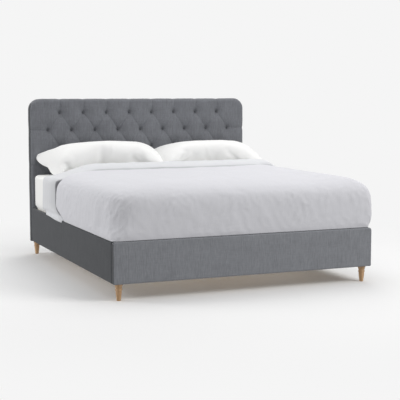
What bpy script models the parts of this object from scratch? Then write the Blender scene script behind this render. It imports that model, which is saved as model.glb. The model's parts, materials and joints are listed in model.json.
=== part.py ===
"""Upholstered king-size bed with a diamond-tufted headboard, a slatted base, a mattress and its bedding.

Metres, +Z up. The foot of the bed faces -Y and the headboard stands at +Y. The origin is on the floor,
under the middle of the bed's plan outline.
"""

import math

import bmesh
import bpy
from mathutils import Matrix, Vector

# Driving dimensions
BED_WIDTH = 1.900
BED_LENGTH = 2.200
HEADBOARD_TOP = 1.268
HEADBOARD_DEPTH = 0.075
HEADBOARD_CORNER = 0.087
HEADBOARD_LOW_CORNER = 0.024
FRAME_BOTTOM = 0.112
RAIL_TOP = 0.384
SIDE_RAIL_DEPTH = 0.030
FOOT_RAIL_DEPTH = 0.042
MATTRESS_WIDTH = 1.830
MATTRESS_LENGTH = 2.030
MATTRESS_TOP = 0.662
SLAT_TOP = 0.330
SLAT_COUNT = 10

# Clearances and cloth
GAP = 0.0003
CLOTH = 0.0025
LINING = CLOTH + GAP
BOARD_INSET = 0.004
ARC_STEPS = 4

# Planes that the parts share
HALF_WIDTH = BED_WIDTH / 2
FOOT_Y = -BED_LENGTH / 2
BACK_Y = BED_LENGTH / 2
HEAD_Y = BACK_Y - HEADBOARD_DEPTH
INNER_X = HALF_WIDTH - SIDE_RAIL_DEPTH
INNER_FOOT_Y = FOOT_Y + FOOT_RAIL_DEPTH

# Layers of the headboard, as depths behind its front face
TRAY_DEPTH = HEADBOARD_DEPTH - 0.0025
HEADBOARD_EDGE = 0.020
HEADBOARD_FOAM_BACK = 0.0278
PANEL_BACK = HEADBOARD_FOAM_BACK + GAP + 0.009
FRAME_BACK = TRAY_DEPTH - GAP
STILE_WIDTH = 0.090
STILE_LIFT = 0.016
TOP_RAIL_HEIGHT = 0.090
BOTTOM_RAIL_TOP = 0.320

# Diamond tufting
BUTTON_PITCH = 0.200
BUTTON_ROW_PITCH = 0.1415
BUTTON_TOP_ROW = 1.157
BUTTON_RADIUS = 0.010
DIMPLE_DEPTH = 0.019
DIMPLE_MOUTH = 0.034
DIMPLE_FLOOR = 0.011
DIMPLE_SIDES = 6
POCKET_EASE = 0.0055
TWINE_RADIUS = 0.0015
TWINE_HOLE = 0.0023

# Upholstery on the rails
RAIL_EDGE = 0.008
SIDE_FOAM_BACK = 0.0098
FOOT_FOAM_BACK = 0.0174

# Legs
LEG_INSET = 0.050
LEG_TOP = FRAME_BOTTOM - 2 * GAP
REAR_LEG_Y = HEAD_Y + 0.047
STUD_RADIUS = 0.004
STUD_TOP = 0.165
STUD_BOTTOM = 0.080

# Slatted base
BLOCK_SIZE = 0.050
BLOCK_TOP = 0.275
SLAT_WIDTH = 0.070
SLAT_THICKNESS = 0.018
SLAT_BOTTOM = SLAT_TOP - SLAT_THICKNESS
LEDGER_DEPTH = 0.025
LEDGER_HEIGHT = 0.030
BEAM_WIDTH = 0.040
BEAM_HEIGHT = 0.060
BEAM_BOTTOM = SLAT_BOTTOM - GAP - BEAM_HEIGHT
BRACKET_REACH = 0.050
BRACKET_PLATE = 0.003
BRACKET_HEIGHT = 0.110
BRACKET_MIDDLE = 0.215
BOLT_RADIUS = 0.004
BOLT_HEAD = 0.006
LONG_BOLT = 0.060
SHORT_BOLT = 0.018
DRILL_CLEARANCE = 0.0003
ROD_SIDES = 6

# Centre legs and their screw feet
CENTRE_LEG_Y = 0.350
CENTRE_LEG_WIDTH = 0.045
CENTRE_LEG_BOTTOM = 0.032
FOOT_STUD_RADIUS = 0.005
FOOT_STUD_TOP = 0.070
FOOT_SOCKET_TOP = 0.085
FOOT_SOCKET_RADIUS = 0.0062
PAD_HEIGHT = 0.0097

# Mattress and bedding
MATTRESS_FOOT_Y = FOOT_Y + 0.060
MATTRESS_HEAD_Y = MATTRESS_FOOT_Y + MATTRESS_LENGTH
MATTRESS_BOTTOM = SLAT_TOP + GAP
MATTRESS_CORNER = 0.050
MATTRESS_EDGE = 0.025
TICKING = 0.003
SPRINGS_TOP = 0.560
HEM_Z = RAIL_TOP + 0.003
SHEET_GAP = 0.0005
SHEET_HEAD_Y = FOOT_Y + 1.755
FOLD_TOP = 0.742
DUVET_HALF_WIDTH = 0.945
DUVET_FOOT_Y = FOOT_Y + 0.012
DUVET_HEAD_Y = FOOT_Y + 1.435
DUVET_TOP = 0.737
DUVET_EDGE = 0.060
DUVET_CORNER = 0.090

# Pillows
PILLOW_SIZE = Vector((0.900, 0.400, 0.226))
PILLOW_TILT = math.radians(25.0)
PILLOW_X = 0.462
PILLOW_Y = HEAD_Y - 0.184
PILLOW_Z = 0.797
CASE_CLOTH = 0.0015


def clear_scene():
    """Starts from an empty scene."""
    for obj in list(bpy.data.objects):
        bpy.data.objects.remove(obj, do_unlink=True)


def new_collection(name):
    """A collection linked to the scene."""
    collection = bpy.data.collections.new(name)
    bpy.context.scene.collection.children.link(collection)
    return collection


def new_material(name, colour, roughness, metallic=0.0):
    """A plain Principled material."""
    material = bpy.data.materials.new(name)
    material.use_nodes = True
    shader = material.node_tree.nodes["Principled BSDF"]
    shader.inputs["Base Color"].default_value = (*colour, 1.0)
    shader.inputs["Roughness"].default_value = roughness
    shader.inputs["Metallic"].default_value = metallic
    material.diffuse_color = (*colour, 1.0)
    return material


clear_scene()
PARTS = new_collection("upholstered_bed")
CUTTERS = new_collection("cutters")

GREY_LINEN = new_material("grey_linen", (0.155, 0.165, 0.178), 0.92)
BLACK_LINING = new_material("black_lining", (0.030, 0.030, 0.032), 0.95)
FOAM = new_material("foam", (0.760, 0.720, 0.560), 0.95)
PLYWOOD = new_material("plywood", (0.560, 0.420, 0.270), 0.70)
PINE = new_material("pine", (0.660, 0.500, 0.310), 0.65)
OAK = new_material("oak", (0.420, 0.270, 0.145), 0.48)
STEEL = new_material("zinc_steel", (0.560, 0.570, 0.580), 0.35, 1.0)
BLACK_PLASTIC = new_material("black_plastic", (0.035, 0.035, 0.037), 0.55)
TICKING_CLOTH = new_material("mattress_ticking", (0.800, 0.800, 0.775), 0.88)
SPRING_CORE = new_material("spring_core", (0.700, 0.710, 0.720), 0.80)
SHEET_COTTON = new_material("sheet_cotton", (0.640, 0.640, 0.665), 0.88)
DUVET_LINEN = new_material("duvet_linen", (0.600, 0.600, 0.640), 0.90)
PILLOW_COTTON = new_material("pillow_cotton", (0.870, 0.870, 0.860), 0.86)
PILLOW_FIBRE = new_material("pillow_fibre", (0.900, 0.900, 0.900), 0.95)


def add_object(name, bm, material, collection=PARTS):
    """Turns a bmesh into a named object with one material."""
    mesh = bpy.data.meshes.new(name)
    bm.to_mesh(mesh)
    bm.free()
    mesh.materials.append(material)
    obj = bpy.data.objects.new(name, mesh)
    collection.objects.link(obj)
    return obj


def add_boolean(obj, cutter, operation="DIFFERENCE", crossing=False):
    """Cuts an object with a closed mesh, or joins that mesh to it. Crossing bodies inside one mesh can be merged."""
    modifier = obj.modifiers.new(operation.title(), "BOOLEAN")
    modifier.operation = operation
    modifier.solver = "EXACT"
    modifier.object = cutter
    modifier.use_self = crossing


def add_solidify(obj, thickness, offset):
    """Gives an open surface its thickness, inward for offset -1 and outward for +1."""
    modifier = obj.modifiers.new("Solidify", "SOLIDIFY")
    modifier.thickness = thickness
    modifier.offset = offset
    modifier.use_even_offset = True


def as_cutter(obj):
    """Marks an object as a guide that is never rendered."""
    obj.hide_render = True
    obj.display_type = "WIRE"
    return obj


def evaluated_bmesh(obj):
    """The object's mesh with its modifiers, in its own space, as a bmesh. The object is removed."""
    bpy.context.view_layer.update()
    depsgraph = bpy.context.evaluated_depsgraph_get()
    mesh = bpy.data.meshes.new_from_object(obj.evaluated_get(depsgraph))
    bm = bmesh.new()
    bm.from_mesh(mesh)
    bpy.data.objects.remove(obj, do_unlink=True)
    bpy.data.meshes.remove(mesh)
    return bm


def box_object(name, low, high, material):
    """A block between two opposite corners."""
    low = Vector(low)
    high = Vector(high)
    size = high - low
    bm = bmesh.new()
    bmesh.ops.create_cube(bm, size=1.0, matrix=Matrix.Diagonal((*size, 1.0)))
    obj = add_object(name, bm, material)
    obj.location = (low + high) / 2
    return obj


def mirrored(side, low, high):
    """The two corners of a block that lies at +X, moved to the side -1 or +1."""
    if side > 0:
        return low, high
    return (-high[0], low[1], low[2]), (-low[0], high[1], high[2])


def rounded_outline(half_width, low, high, low_radius, high_radius):
    """An upright panel's outline, counter-clockwise, with a radius for each end's corners."""
    corners = (
        (1, low, low_radius, -90),
        (1, high, high_radius, 0),
        (-1, high, high_radius, 90),
        (-1, low, low_radius, 180),
    )
    points = []
    for side, level, radius, start in corners:
        centre_x = side * (half_width - radius)
        centre_y = level + radius if level == low else level - radius
        steps = ARC_STEPS if radius > 0 else 0
        for step in range(steps + 1):
            angle = math.radians(start + 90 * step / max(steps, 1))
            points.append((centre_x + radius * math.cos(angle), centre_y + radius * math.sin(angle)))
    return points


def slab_bmesh(outline, front, back, edge_radius=0.0, segments=3):
    """A solid of an outline's shape between two depths along -Z, with a rounded front edge."""
    bm = bmesh.new()
    face = bm.faces.new([bm.verts.new((x, y, -front)) for x, y in outline])
    extruded = bmesh.ops.extrude_face_region(bm, geom=[face])["geom"]
    moved = [item for item in extruded if isinstance(item, bmesh.types.BMVert)]
    bmesh.ops.translate(bm, verts=moved, vec=(0, 0, front - back))
    bmesh.ops.recalc_face_normals(bm, faces=bm.faces)
    if edge_radius > 0:
        middle = -(front + back) / 2
        rim = [e for e in bm.edges if all(v.co.z > middle for v in e.verts)]
        bmesh.ops.bevel(
            bm, geom=rim, offset=edge_radius, segments=segments, profile=0.5, affect="EDGES"
        )
    return bm


def slab_object(name, outline, front, back, material, edge_radius=0.0):
    """A solid layer of upholstery or board."""
    return add_object(name, slab_bmesh(outline, front, back, edge_radius), material)


def open_back(bm, depth):
    """Removes the face at the far depth, which leaves a tray."""
    faces = [f for f in bm.faces if all(v.co.z < -depth + 1e-5 for v in f.verts)]
    bmesh.ops.delete(bm, geom=faces, context="FACES")


def tray_object(name, outline, depth, material, edge_radius, thickness=CLOTH):
    """Cloth stretched over a layer: its face, its rounded edge and its four returns."""
    bm = slab_bmesh(outline, 0.0, depth, edge_radius)
    open_back(bm, depth)
    obj = add_object(name, bm, material)
    add_solidify(obj, thickness, -1.0)
    return obj


def turned_bmesh(profile, steps):
    """A turned solid. The profile starts and ends on the axis and runs from top to bottom."""
    bm = bmesh.new()
    verts = [bm.verts.new((radius, 0.0, height)) for radius, height in profile]
    for upper, lower in zip(verts, verts[1:]):
        bm.edges.new((upper, lower))
    obj = add_object("turned", bm, STEEL)
    screw = obj.modifiers.new("Screw", "SCREW")
    screw.steps = steps
    screw.render_steps = steps
    screw.use_merge_vertices = True
    screw.merge_threshold = 0.00001
    solid = evaluated_bmesh(obj)
    bmesh.ops.remove_doubles(solid, verts=solid.verts, dist=0.00001)
    return solid


def smooth(obj, degrees=40):
    """Shades round surfaces smooth and keeps sharp edges."""
    obj.data.shade_smooth()
    obj.data.set_sharp_from_angle(angle=math.radians(degrees))


def group_object(name, bm, matrices, material, collection=PARTS):
    """Copies of one solid at several places, as one object. The solid is freed."""
    source = bpy.data.meshes.new("copy")
    bm.to_mesh(source)
    bm.free()
    group = bmesh.new()
    for matrix in matrices:
        placed = source.copy()
        placed.transform(matrix)
        group.from_mesh(placed)
        bpy.data.meshes.remove(placed)
    bpy.data.meshes.remove(source)
    return add_object(name, group, material, collection)


def facing(seat, direction):
    """A matrix that puts the origin at a seat and turns +Z to a direction."""
    turn = Vector(direction).to_track_quat("Z", "Y").to_matrix().to_4x4()
    return Matrix.Translation(seat) @ turn


def bracket_bolts(name, side=0):
    """The bolts of one bracket, each as its seat on the plate, the way it is driven and its length."""
    plate = GAP + BRACKET_PLATE
    if name == "rail":
        bolts = []
        for height in (BRACKET_MIDDLE - 0.025, BRACKET_MIDDLE + 0.025):
            bolts.append(((side * (INNER_X - 0.030), HEAD_Y - plate, height), (0, 1, 0), LONG_BOLT))
            bolts.append(((side * (INNER_X - plate), HEAD_Y - 0.030, height), (side, 0, 0), SHORT_BOLT))
        return bolts
    height = BEAM_BOTTOM - 0.030
    if name == "beam_head":
        return [((x, HEAD_Y - plate, height), (0, 1, 0), LONG_BOLT) for x in (-0.018, 0.018)]
    return [((x, INNER_FOOT_Y + plate, height), (0, -1, 0), SHORT_BOLT) for x in (-0.018, 0.018)]


def all_bracket_bolts():
    """Every bolt of the four brackets."""
    bolts = bracket_bolts("rail", -1) + bracket_bolts("rail", 1)
    return bolts + bracket_bolts("beam_head") + bracket_bolts("beam_foot")


def rod_bmesh(rods):
    """Plain cylinders in one mesh, each given by its matrix, its ends along +Z and its radius."""
    bm = bmesh.new()
    for matrix, start, end, radius in rods:
        place = matrix @ Matrix.Translation((0, 0, (start + end) / 2))
        bmesh.ops.create_cone(
            bm,
            cap_ends=True,
            segments=ROD_SIDES,
            radius1=radius,
            radius2=radius,
            depth=end - start,
            matrix=place,
        )
    return bm


def leg_places():
    """Names and plan positions of the four corner legs."""
    places = []
    for end, y in (("front", FOOT_Y + LEG_INSET), ("rear", REAR_LEG_Y)):
        for side, x in (("left", -1), ("right", 1)):
            places.append((f"leg_{end}_{side}", x * (HALF_WIDTH - LEG_INSET), y))
    return places


def button_places():
    """Button centres as (x, z), in four staggered rows."""
    places = []
    for row in range(4):
        count = 8 + row % 2
        for column in range(count):
            x = (column - (count - 1) / 2) * BUTTON_PITCH
            places.append((x, BUTTON_TOP_ROW - row * BUTTON_ROW_PITCH))
    return places


def make_drill():
    """All bolt, stud, socket and twine holes as one cutter."""
    rods = []
    bolt_radius = BOLT_RADIUS + DRILL_CLEARANCE
    for seat, direction, length in all_bracket_bolts():
        rods.append((facing(seat, direction), -GAP, length + 0.0005, bolt_radius))
    for _, x, y in leg_places():
        rods.append((Matrix.Translation((x, y, 0)), 0.100, STUD_TOP + 0.002, bolt_radius))
    for y in (-CENTRE_LEG_Y, CENTRE_LEG_Y):
        rods.append((Matrix.Translation((0, y, 0)), 0.020, FOOT_SOCKET_TOP, FOOT_SOCKET_RADIUS))
    for x, z in button_places():
        rods.append((facing((x, HEAD_Y, z), (0, 1, 0)), 0.010, PANEL_BACK + 0.005, TWINE_HOLE))
    return as_cutter(add_object("drill", rod_bmesh(rods), STEEL, CUTTERS))


DRILL = make_drill()


# Headboard


def headboard_outline(inset=0.0):
    """The headboard's rounded outline, drawn in by an inset."""
    return rounded_outline(
        HALF_WIDTH - inset,
        FRAME_BOTTOM + inset,
        HEADBOARD_TOP - inset,
        HEADBOARD_LOW_CORNER - inset,
        HEADBOARD_CORNER - inset,
    )


def stand_upright(obj):
    """Stands a panel up with its face at the headboard's front plane."""
    obj.location = (0, HEAD_Y, 0)
    obj.rotation_euler = (math.pi / 2, 0, 0)


def dimple_cutter(name, widen, deepen):
    """Tapered pockets at every button, for the cloth or, wider and deeper, for the foam."""
    start = -0.010
    taper = (DIMPLE_MOUTH - DIMPLE_FLOOR) / DIMPLE_DEPTH
    depth = DIMPLE_DEPTH + deepen - start
    bm = bmesh.new()
    bmesh.ops.create_cone(
        bm,
        cap_ends=True,
        segments=DIMPLE_SIDES,
        radius1=DIMPLE_FLOOR + widen,
        radius2=DIMPLE_MOUTH - start * taper + widen + deepen,
        depth=depth,
    )
    middle = -(start + depth / 2)
    places = [Matrix.Translation((x, z, middle)) for x, z in button_places()]
    return as_cutter(group_object(name, bm, places, STEEL, CUTTERS))


def make_headboard_cover():
    """The front cloth, pulled into a pocket at every button, with its returns."""
    blank = add_object("blank", slab_bmesh(headboard_outline(), 0, TRAY_DEPTH, HEADBOARD_EDGE), GREY_LINEN)
    add_boolean(blank, dimple_cutter("cover_dimples", 0.0, 0.0))
    bm = evaluated_bmesh(blank)
    open_back(bm, TRAY_DEPTH)
    cover = add_object("headboard_cover", bm, GREY_LINEN)
    add_solidify(cover, CLOTH, -1.0)
    stand_upright(cover)
    add_boolean(cover, DRILL)


def make_headboard_foam():
    """Foam with a pocket cut for every button."""
    foam = slab_object(
        "headboard_foam",
        headboard_outline(LINING),
        LINING,
        HEADBOARD_FOAM_BACK,
        FOAM,
        HEADBOARD_EDGE - LINING,
    )
    pockets = dimple_cutter("foam_dimples", POCKET_EASE, LINING + GAP)
    stand_upright(pockets)
    stand_upright(foam)
    add_boolean(foam, pockets)
    add_boolean(foam, DRILL)


def make_headboard_frame():
    """Plywood panel on a frame of two stiles and two rails, and the lining behind."""
    panel = slab_object(
        "headboard_panel", headboard_outline(BOARD_INSET), HEADBOARD_FOAM_BACK + GAP, PANEL_BACK, PLYWOOD
    )
    stand_upright(panel)
    add_boolean(panel, DRILL)

    front = HEAD_Y + PANEL_BACK + GAP
    back = HEAD_Y + FRAME_BACK
    outer = HALF_WIDTH - BOARD_INSET
    low = FRAME_BOTTOM + BOARD_INSET
    top_rail_low = HEADBOARD_TOP - BOARD_INSET - TOP_RAIL_HEIGHT
    for name, side in (("left", -1), ("right", 1)):
        corners = mirrored(
            side, (outer - STILE_WIDTH, front, low + STILE_LIFT), (outer, back, top_rail_low - GAP)
        )
        stile = box_object(f"headboard_stile_{name}", *corners, PINE)
        add_boolean(stile, DRILL)

    top_rail = slab_object(
        "headboard_top_rail",
        rounded_outline(
            outer, top_rail_low, HEADBOARD_TOP - BOARD_INSET, 0, HEADBOARD_CORNER - BOARD_INSET
        ),
        PANEL_BACK + GAP,
        FRAME_BACK,
        PINE,
    )
    stand_upright(top_rail)

    reach = outer - STILE_WIDTH - GAP
    bottom_rail = box_object(
        "headboard_bottom_rail", (-reach, front, low), (reach, back, BOTTOM_RAIL_TOP), PINE
    )
    add_boolean(bottom_rail, DRILL)

    lining = slab_object(
        "headboard_back_cover", headboard_outline(0.003), TRAY_DEPTH + GAP, HEADBOARD_DEPTH, BLACK_LINING
    )
    stand_upright(lining)


def make_buttons():
    """Cloth-covered buttons in the pockets, on twine that runs through the foam and panel to ties behind."""
    bm = bmesh.new()
    half_height = 0.003
    bmesh.ops.create_cone(
        bm,
        cap_ends=True,
        segments=DIMPLE_SIDES,
        radius1=BUTTON_RADIUS,
        radius2=BUTTON_RADIUS * 0.55,
        depth=2 * half_height,
    )
    lift = -DIMPLE_DEPTH + half_height + GAP
    places = [Matrix.Translation((x, z, lift)) for x, z in button_places()]
    buttons = group_object("headboard_buttons", bm, places, GREY_LINEN)
    stand_upright(buttons)

    tie_depth = PANEL_BACK + GAP
    rods = []
    for x, z in button_places():
        rods.append((Matrix.Translation((x, z, 0)), -tie_depth - 0.001, lift, TWINE_RADIUS))
    twine = as_cutter(add_object("button_twine", rod_bmesh(rods), STEEL, CUTTERS))
    stand_upright(twine)
    add_boolean(buttons, twine, "UNION")

    rows = sorted({z for _, z in button_places()})
    reach = max(x for x, _ in button_places()) + 0.004
    strips = bmesh.new()
    for z in rows:
        size = Matrix.Diagonal((2 * reach, 0.004, 0.002, 1))
        bmesh.ops.create_cube(
            strips, size=1.0, matrix=Matrix.Translation((0, z, -tie_depth - 0.001)) @ size
        )
    ties = as_cutter(add_object("button_ties", strips, STEEL, CUTTERS))
    stand_upright(ties)
    post = bmesh.new()
    middle = (rows[0] + rows[-1]) / 2
    size = Matrix.Diagonal((0.005, rows[-1] - rows[0] + 0.006, 0.0015, 1))
    bmesh.ops.create_cube(post, size=1.0, matrix=Matrix.Translation((0.05, middle, -tie_depth - 0.001)) @ size)
    link = as_cutter(add_object("button_link", post, STEEL, CUTTERS))
    stand_upright(link)
    add_boolean(ties, link, "UNION")
    add_boolean(buttons, ties, "UNION")


# Rails


def rail_outline(half_length, inset, corner):
    """A rail's face, drawn in by an inset."""
    return rounded_outline(
        half_length - inset, FRAME_BOTTOM + inset, RAIL_TOP - inset, max(0.010 - inset, 0), corner - inset
    )


def make_rail(name, half_length, centre, turn, depth, foam_back, corner):
    """A rail of three layers: board, foam and stretched cloth. It faces -Y before its turn about Z."""
    layers = (
        tray_object(f"{name}_cover", rail_outline(half_length, 0, corner), depth, GREY_LINEN, RAIL_EDGE),
        slab_object(
            f"{name}_foam",
            rail_outline(half_length, LINING, corner),
            LINING,
            foam_back,
            FOAM,
            RAIL_EDGE - LINING,
        ),
        slab_object(
            f"{name}_board",
            rail_outline(half_length, BOARD_INSET, corner),
            foam_back + GAP,
            depth - GAP,
            PINE,
        ),
    )
    for layer in layers:
        layer.location = centre
        layer.rotation_euler = (math.pi / 2, 0, math.radians(turn))
    add_boolean(layers[2], DRILL)


def make_rails():
    """The foot rail runs the full width and the side rails butt against it and the headboard."""
    make_rail("foot_rail", HALF_WIDTH, (0, FOOT_Y, 0), 0, FOOT_RAIL_DEPTH, FOOT_FOAM_BACK, 0.020)
    start = INNER_FOOT_Y + GAP
    end = HEAD_Y - GAP
    for name, side in (("left", -1), ("right", 1)):
        centre = (side * HALF_WIDTH, (start + end) / 2, 0)
        make_rail(
            f"side_rail_{name}", (end - start) / 2, centre, side * 90, SIDE_RAIL_DEPTH, SIDE_FOAM_BACK, 0.010
        )


# Slatted base


def make_corner_blocks():
    """Blocks that join the foot rail to the side rails and carry the front legs' studs."""
    for name, side in (("left", -1), ("right", 1)):
        outer = INNER_X - GAP
        low_y = INNER_FOOT_Y + GAP
        corners = mirrored(
            side,
            (outer - BLOCK_SIZE, low_y, FRAME_BOTTOM),
            (outer, low_y + BLOCK_SIZE, BLOCK_TOP),
        )
        block = box_object(f"corner_block_{name}", *corners, PINE)
        add_boolean(block, DRILL)


def make_ledgers_and_beam():
    """Side ledgers and the centre beam, which hold the slats."""
    top = SLAT_BOTTOM - GAP
    for name, side in (("left", -1), ("right", 1)):
        outer = INNER_X - GAP
        corners = mirrored(
            side,
            (outer - LEDGER_DEPTH, INNER_FOOT_Y + GAP, top - LEDGER_HEIGHT),
            (outer, HEAD_Y - GAP, top),
        )
        box_object(f"slat_ledger_{name}", *corners, PINE)
    half = BEAM_WIDTH / 2
    box_object(
        "centre_beam", (-half, INNER_FOOT_Y + GAP, BEAM_BOTTOM), (half, HEAD_Y - GAP, top), PINE
    )


def make_angle_bracket(name, width, location, rotation, bolts):
    """A steel angle with its bolts: one leg up +Z against a wall at y = 0, the other along -Y."""
    reach = BRACKET_REACH
    plate = BRACKET_PLATE
    profile = ((0, 0), (0, reach), (-plate, reach), (-plate, plate), (-reach, plate), (-reach, 0))
    bm = bmesh.new()
    face = bm.faces.new([bm.verts.new((-width / 2, y, z)) for y, z in profile])
    extruded = bmesh.ops.extrude_face_region(bm, geom=[face])["geom"]
    moved = [item for item in extruded if isinstance(item, bmesh.types.BMVert)]
    bmesh.ops.translate(bm, verts=moved, vec=(width, 0, 0))
    bmesh.ops.recalc_face_normals(bm, faces=bm.faces)
    bracket = add_object(name, bm, STEEL)
    bracket.location = location
    bracket.rotation_euler = rotation
    rods = [
        (facing(seat, direction), -BOLT_HEAD, length, BOLT_RADIUS) for seat, direction, length in bolts
    ]
    shanks = as_cutter(add_object(f"{name}_bolts", rod_bmesh(rods), STEEL, CUTTERS))
    add_boolean(bracket, shanks, "UNION")


def make_brackets():
    """Angles that join the side rails to the headboard, and seats for the beam's ends."""
    for name, side in (("left", -1), ("right", 1)):
        corner = (side * (INNER_X - GAP), HEAD_Y - GAP, BRACKET_MIDDLE)
        turn = (0, -side * math.pi / 2, 0)
        make_angle_bracket(f"rail_bracket_{name}", BRACKET_HEIGHT, corner, turn, bracket_bolts("rail", side))
    seat = BEAM_BOTTOM - GAP
    width = 0.060
    head = (0, HEAD_Y - GAP, seat)
    make_angle_bracket("beam_bracket_head", width, head, (0, math.pi, 0), bracket_bolts("beam_head"))
    foot = (0, INNER_FOOT_Y + GAP, seat)
    make_angle_bracket("beam_bracket_foot", width, foot, (math.pi, 0, 0), bracket_bolts("beam_foot"))


def make_slats():
    """Cross slats, evenly spaced from foot to head."""
    reach = INNER_X - 0.003
    first = INNER_FOOT_Y + 0.055
    last = HEAD_Y - 0.055
    for index in range(SLAT_COUNT):
        centre = first + (last - first) * index / (SLAT_COUNT - 1)
        low = (-reach, centre - SLAT_WIDTH / 2, SLAT_BOTTOM)
        high = (reach, centre + SLAT_WIDTH / 2, SLAT_TOP)
        box_object(f"slat_{index + 1:02d}", low, high, PINE)


# Legs


def leg_profile():
    """Turned leg: flared top with a stud hole, a neck, a bead, then a tapering barrel."""
    hole = STUD_RADIUS + DRILL_CLEARANCE
    return (
        (0, STUD_BOTTOM - 0.001),
        (hole, STUD_BOTTOM - 0.001),
        (hole, LEG_TOP),
        (0.0280, LEG_TOP),
        (0.0265, 0.103),
        (0.0232, 0.092),
        (0.0214, 0.080),
        (0.0214, 0.076),
        (0.0236, 0.072),
        (0.0214, 0.068),
        (0.0192, 0.064),
        (0.0198, 0.048),
        (0.0182, 0.028),
        (0.0140, 0.003),
        (0.0128, 0),
        (0, 0),
    )


def make_legs():
    """Four turned legs and the threaded studs that hold them."""
    shape = turned_bmesh(leg_profile(), 14)
    mesh = bpy.data.meshes.new("turned_leg")
    shape.to_mesh(mesh)
    shape.free()
    mesh.materials.append(OAK)
    for name, x, y in leg_places():
        leg = bpy.data.objects.new(name, mesh)
        leg.location = (x, y, 0)
        PARTS.objects.link(leg)
        smooth(leg)
        rods = [(Matrix.Identity(4), STUD_BOTTOM, STUD_TOP, STUD_RADIUS)]
        stud = add_object(name.replace("leg", "leg_stud"), rod_bmesh(rods), STEEL)
        stud.location = (x, y, 0)


def make_centre_legs():
    """Two posts under the beam, each on a screw foot with a plastic pad."""
    half = CENTRE_LEG_WIDTH / 2
    nut_top = PAD_HEIGHT + GAP + 0.007
    stud_profile = (
        (0, FOOT_STUD_TOP),
        (FOOT_STUD_RADIUS, FOOT_STUD_TOP),
        (FOOT_STUD_RADIUS, nut_top),
        (0.0095, nut_top),
        (0.0095, PAD_HEIGHT + GAP),
        (0, PAD_HEIGHT + GAP),
    )
    pad_profile = ((0, PAD_HEIGHT), (0.012, PAD_HEIGHT), (0.020, 0.004), (0.020, 0), (0, 0))
    for name, y in (("front", -CENTRE_LEG_Y), ("rear", CENTRE_LEG_Y)):
        low = (-half, y - half, CENTRE_LEG_BOTTOM)
        high = (half, y + half, BEAM_BOTTOM - GAP)
        post = box_object(f"centre_leg_{name}", low, high, PINE)
        add_boolean(post, DRILL)
        stud = add_object(f"centre_foot_stud_{name}", turned_bmesh(stud_profile, 8), STEEL)
        stud.location = (0, y, 0)
        pad = add_object(f"centre_foot_pad_{name}", turned_bmesh(pad_profile, 16), BLACK_PLASTIC)
        pad.location = (0, y, 0)


# Mattress and bedding


def plan_outline(half_width, foot, head, foot_corner, head_corner):
    """A bedding layer's plan outline."""
    return rounded_outline(half_width, foot, head, foot_corner, head_corner)


def lay_flat(obj, top):
    """Puts a layer's face at a height, facing up."""
    obj.location = (0, 0, top)


def mattress_outline(inset):
    """The mattress's plan, drawn in by an inset."""
    corner = MATTRESS_CORNER - inset
    return plan_outline(
        MATTRESS_WIDTH / 2 - inset, MATTRESS_FOOT_Y + inset, MATTRESS_HEAD_Y - inset, corner, corner
    )


def make_mattress():
    """Ticking around a comfort foam and a spring core."""
    cover = tray_object(
        "mattress_cover",
        mattress_outline(0),
        MATTRESS_TOP - MATTRESS_BOTTOM,
        TICKING_CLOTH,
        MATTRESS_EDGE,
        TICKING,
    )
    lay_flat(cover, MATTRESS_TOP)
    inset = TICKING + GAP
    foam = slab_object(
        "mattress_foam",
        mattress_outline(inset),
        inset,
        MATTRESS_TOP - SPRINGS_TOP - GAP,
        FOAM,
        MATTRESS_EDGE - inset,
    )
    lay_flat(foam, MATTRESS_TOP)
    springs = slab_object(
        "mattress_springs",
        mattress_outline(inset),
        MATTRESS_TOP - SPRINGS_TOP,
        MATTRESS_TOP - MATTRESS_BOTTOM,
        SPRING_CORE,
    )
    lay_flat(springs, MATTRESS_TOP)


def make_flat_sheet():
    """A sheet over the mattress, hanging to the rails, with its head end folded back in a thick band."""
    inner_top = MATTRESS_TOP + SHEET_GAP
    outline = plan_outline(
        MATTRESS_WIDTH / 2 + SHEET_GAP,
        MATTRESS_FOOT_Y - SHEET_GAP,
        SHEET_HEAD_Y,
        MATTRESS_CORNER + SHEET_GAP,
        0,
    )
    depth = inner_top - HEM_Z
    bm = slab_bmesh(outline, 0, depth + 0.1, 0)
    rim = [
        e
        for e in bm.edges
        if all(v.co.z > -0.01 for v in e.verts) and not all(v.co.y > SHEET_HEAD_Y - 1e-5 for v in e.verts)
    ]
    bmesh.ops.bevel(
        bm, geom=rim, offset=MATTRESS_EDGE + SHEET_GAP, segments=3, profile=0.5, affect="EDGES"
    )
    head_wall = [f for f in bm.faces if all(v.co.y > SHEET_HEAD_Y - 1e-5 for v in f.verts)]
    bmesh.ops.delete(bm, geom=head_wall, context="FACES")
    bmesh.ops.translate(bm, verts=[v for v in bm.verts if v.co.z < -depth], vec=(0, 0, 0.1))
    open_back(bm, depth)
    sheet = add_object("flat_sheet", bm, SHEET_COTTON)
    add_solidify(sheet, CLOTH, 1.0)
    lay_flat(sheet, inner_top)

    fold_low = inner_top + CLOTH / 2
    band = plan_outline(MATTRESS_WIDTH / 2 - 0.045, DUVET_HEAD_Y + 0.006, SHEET_HEAD_Y, 0.01, 0.01)
    fold = add_object(
        "sheet_fold", slab_bmesh(band, 0, FOLD_TOP - fold_low, 0.030), SHEET_COTTON, CUTTERS
    )
    lay_flat(as_cutter(fold), FOLD_TOP)
    add_boolean(sheet, fold, "UNION")


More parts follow.
